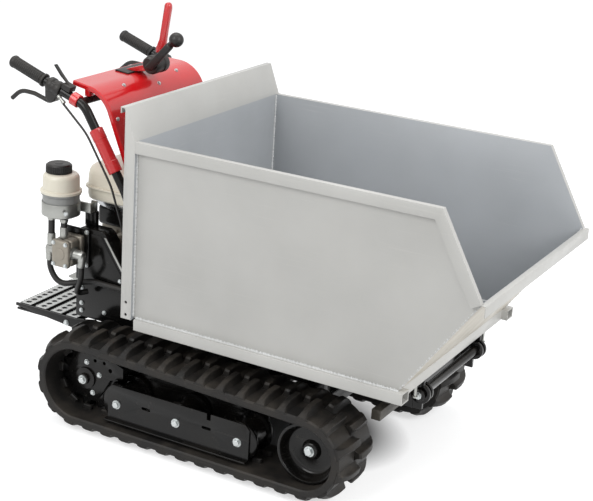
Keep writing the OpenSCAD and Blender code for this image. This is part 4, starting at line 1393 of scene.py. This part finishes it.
class DUMPER_OT_fasteners(bpy.types.Operator):
    """Sets the bolts and screws"""
    bl_idname = "dumper.fasteners"
    bl_label = "Fasteners"

    def execute(self, context):
        bolts("plated_bolts", chassis_bolts())
        make_stop_bolts()
        bolts("console_screws", console_screws())
        return {"FINISHED"}


# Stage

FLOOR_SHADE = 0.62
FLOOR_GLOW = 0.6
# Painted shadow: under the machine the floor's colour drops to this shade and its glow fades out, within this
# reach and over this edge
SHADOW_SHADE = 0.12
SHADOW_REACH = (0.38, 0.27)
SHADOW_EDGE = (0.75, 1.1)
FLOOR_HALF = 30
SKY_SHADE = (0.96, 0.98, 1.0, 1)
SKY_STRENGTH = 0.62
LAMP_AIM = (0, 0, 0.5)
LAMPS = (
    ("key", (-1.0, -3.6, 3.3), 2.6, 106),
    ("fill", (4.4, -0.6, 3.2), 2.4, 140),
    ("top", (-1.0, 0.6, 4.6), 3.0, 70),
)
CAMERA_PLACE = (1.810344, -3.313071, 1.80483)
CAMERA_RIGHT = (0.871587, 0.48644, 0.060936)
CAMERA_UP = (-0.209903, 0.257959, 0.943079)
CAMERA_BACK = (0.443032, -0.834766, 0.326939)
CAMERA_LENS = 89.9645


def seen_rays(tree):
    """One for rays of the camera, mirrors and glass, which see the white background."""
    path = tree.nodes.new("ShaderNodeLightPath")
    seen = math_node(tree, "MAXIMUM", path.outputs["Is Camera Ray"], path.outputs["Is Transmission Ray"])
    return math_node(tree, "MAXIMUM", seen, path.outputs["Is Glossy Ray"])


def studio_world():
    """A soft sky that lights the scene and looks white."""
    world = bpy.data.worlds.new("studio")
    world.use_nodes = True
    tree = world.node_tree
    soft = tree.nodes["Background"]
    soft.inputs["Color"].default_value = SKY_SHADE
    soft.inputs["Strength"].default_value = SKY_STRENGTH
    white = tree.nodes.new("ShaderNodeBackground")
    white.inputs["Color"].default_value = (1, 1, 1, 1)
    choose = tree.nodes.new("ShaderNodeMixShader")
    link(tree, seen_rays(tree), choose.inputs[0])
    link(tree, soft.outputs[0], choose.inputs[1])
    link(tree, white.outputs[0], choose.inputs[2])
    link(tree, choose.outputs[0], tree.nodes["World Output"].inputs["Surface"])
    return world


def pale_floor():
    """A floor that looks white, with a painted shadow under the machine: dark and without glow there."""
    pale = bpy.data.materials.new("pale_floor")
    pale.use_nodes = True
    tree = pale.node_tree
    shader = tree.nodes["Principled BSDF"]
    shader.inputs["Roughness"].default_value = 0.9
    shader.inputs["Specular IOR Level"].default_value = 0.0
    glow = tree.nodes.new("ShaderNodeEmission")
    both = tree.nodes.new("ShaderNodeAddShader")
    coords = tree.nodes.new("ShaderNodeTexCoord").outputs["Object"]
    spread = tree.nodes.new("ShaderNodeMapping")
    spread.inputs["Scale"].default_value = (1 / SHADOW_REACH[0], 1 / SHADOW_REACH[1], 0)
    span = tree.nodes.new("ShaderNodeVectorMath")
    span.operation = "LENGTH"
    link(tree, coords, spread.inputs["Vector"])
    link(tree, spread.outputs[0], span.inputs[0])
    # Painted shadow: darker colour and no glow near the middle of the floor, under the machine
    open_floor = ramp(tree, span.outputs["Value"], *SHADOW_EDGE)
    ground = blend_colour(tree, open_floor, (SHADOW_SHADE,) * 3, (FLOOR_SHADE,) * 3)
    link(tree, ground, shader.inputs["Base Color"])
    open_glow = math_node(tree, "MULTIPLY", open_floor, FLOOR_GLOW)
    link(tree, math_node(tree, "MULTIPLY", seen_rays(tree), open_glow), glow.inputs["Strength"])
    link(tree, shader.outputs[0], both.inputs[0])
    link(tree, glow.outputs[0], both.inputs[1])
    link(tree, both.outputs[0], tree.nodes["Material Output"].inputs["Surface"])
    return pale


def area_lamp(name, place, width, power):
    """A soft square lamp that looks at the machine."""
    lamp = bpy.data.lights.new(name, "AREA")
    lamp.size = width
    lamp.energy = power
    made = bpy.data.objects.new(name, lamp)
    made.location = place
    made.rotation_euler = (Vector(place) - Vector(LAMP_AIM)).to_track_quat("Z", "Y").to_euler()
    return made


def fitted_camera():
    """The camera that was fitted to the photograph's outline."""
    camera = bpy.data.objects.new("camera", bpy.data.cameras.new("camera"))
    camera.data.sensor_width = 36
    camera.data.sensor_fit = "HORIZONTAL"
    camera.data.lens = CAMERA_LENS
    turn = Matrix((CAMERA_RIGHT, CAMERA_UP, CAMERA_BACK)).transposed().to_4x4()
    camera.matrix_world = Matrix.Translation(CAMERA_PLACE) @ turn
    return camera


class DUMPER_OT_stage(bpy.types.Operator):
    """Sets the pale floor, the soft light and the camera"""
    bl_idname = "dumper.stage"
    bl_label = "Stage"

    def execute(self, context):
        scene = context.scene
        scene.view_settings.view_transform = "Standard"
        scene.world = studio_world()
        bm = bmesh.new()
        bmesh.ops.create_grid(bm, x_segments=8, y_segments=8, size=FLOOR_HALF)
        mesh = bpy.data.meshes.new("floor")
        bm.to_mesh(mesh)
        bm.free()
        mesh.materials.append(pale_floor())
        floor = bpy.data.objects.new("floor", mesh)
        scene.collection.objects.link(floor)
        for lamp in LAMPS:
            scene.collection.objects.link(area_lamp(*lamp))
        camera = fitted_camera()
        scene.collection.objects.link(camera)
        scene.camera = camera
        return {"FINISHED"}


OPERATORS = (
    DUMPER_OT_skip, DUMPER_OT_tipping, DUMPER_OT_chassis, DUMPER_OT_tracks, DUMPER_OT_engine,
    DUMPER_OT_hydraulics, DUMPER_OT_platform, DUMPER_OT_handles, DUMPER_OT_console, DUMPER_OT_fasteners,
    DUMPER_OT_stage,
)


class DUMPER_PT_panel(bpy.types.Panel):
    """Lists the dumper's pieces"""
    bl_idname = "DUMPER_PT_panel"
    bl_label = "Tracked mini dumper"
    bl_space_type = "VIEW_3D"
    bl_region_type = "UI"
    bl_category = "Dumper"

    def draw(self, context):
        for kind in OPERATORS:
            self.layout.operator(kind.bl_idname)


def register():
    for kind in (DumperColours, DumperSizes, *OPERATORS, DUMPER_PT_panel):
        bpy.utils.register_class(kind)
    bpy.types.Scene.dumper_colours = PointerProperty(type=DumperColours)
    bpy.types.Scene.dumper_sizes = PointerProperty(type=DumperSizes)


def unregister():
    del bpy.types.Scene.dumper_sizes
    del bpy.types.Scene.dumper_colours
    for kind in (DUMPER_PT_panel, *reversed(OPERATORS), DumperSizes, DumperColours):
        bpy.utils.unregister_class(kind)


def main():
    register()
    bpy.ops.dumper.skip()
    bpy.ops.dumper.tipping()
    bpy.ops.dumper.chassis()
    bpy.ops.dumper.tracks()
    bpy.ops.dumper.engine()
    bpy.ops.dumper.hydraulics()
    bpy.ops.dumper.platform()
    bpy.ops.dumper.handles()
    bpy.ops.dumper.console()
    bpy.ops.dumper.fasteners()
    bpy.ops.dumper.stage()


if __name__ == "__main__":
    main()
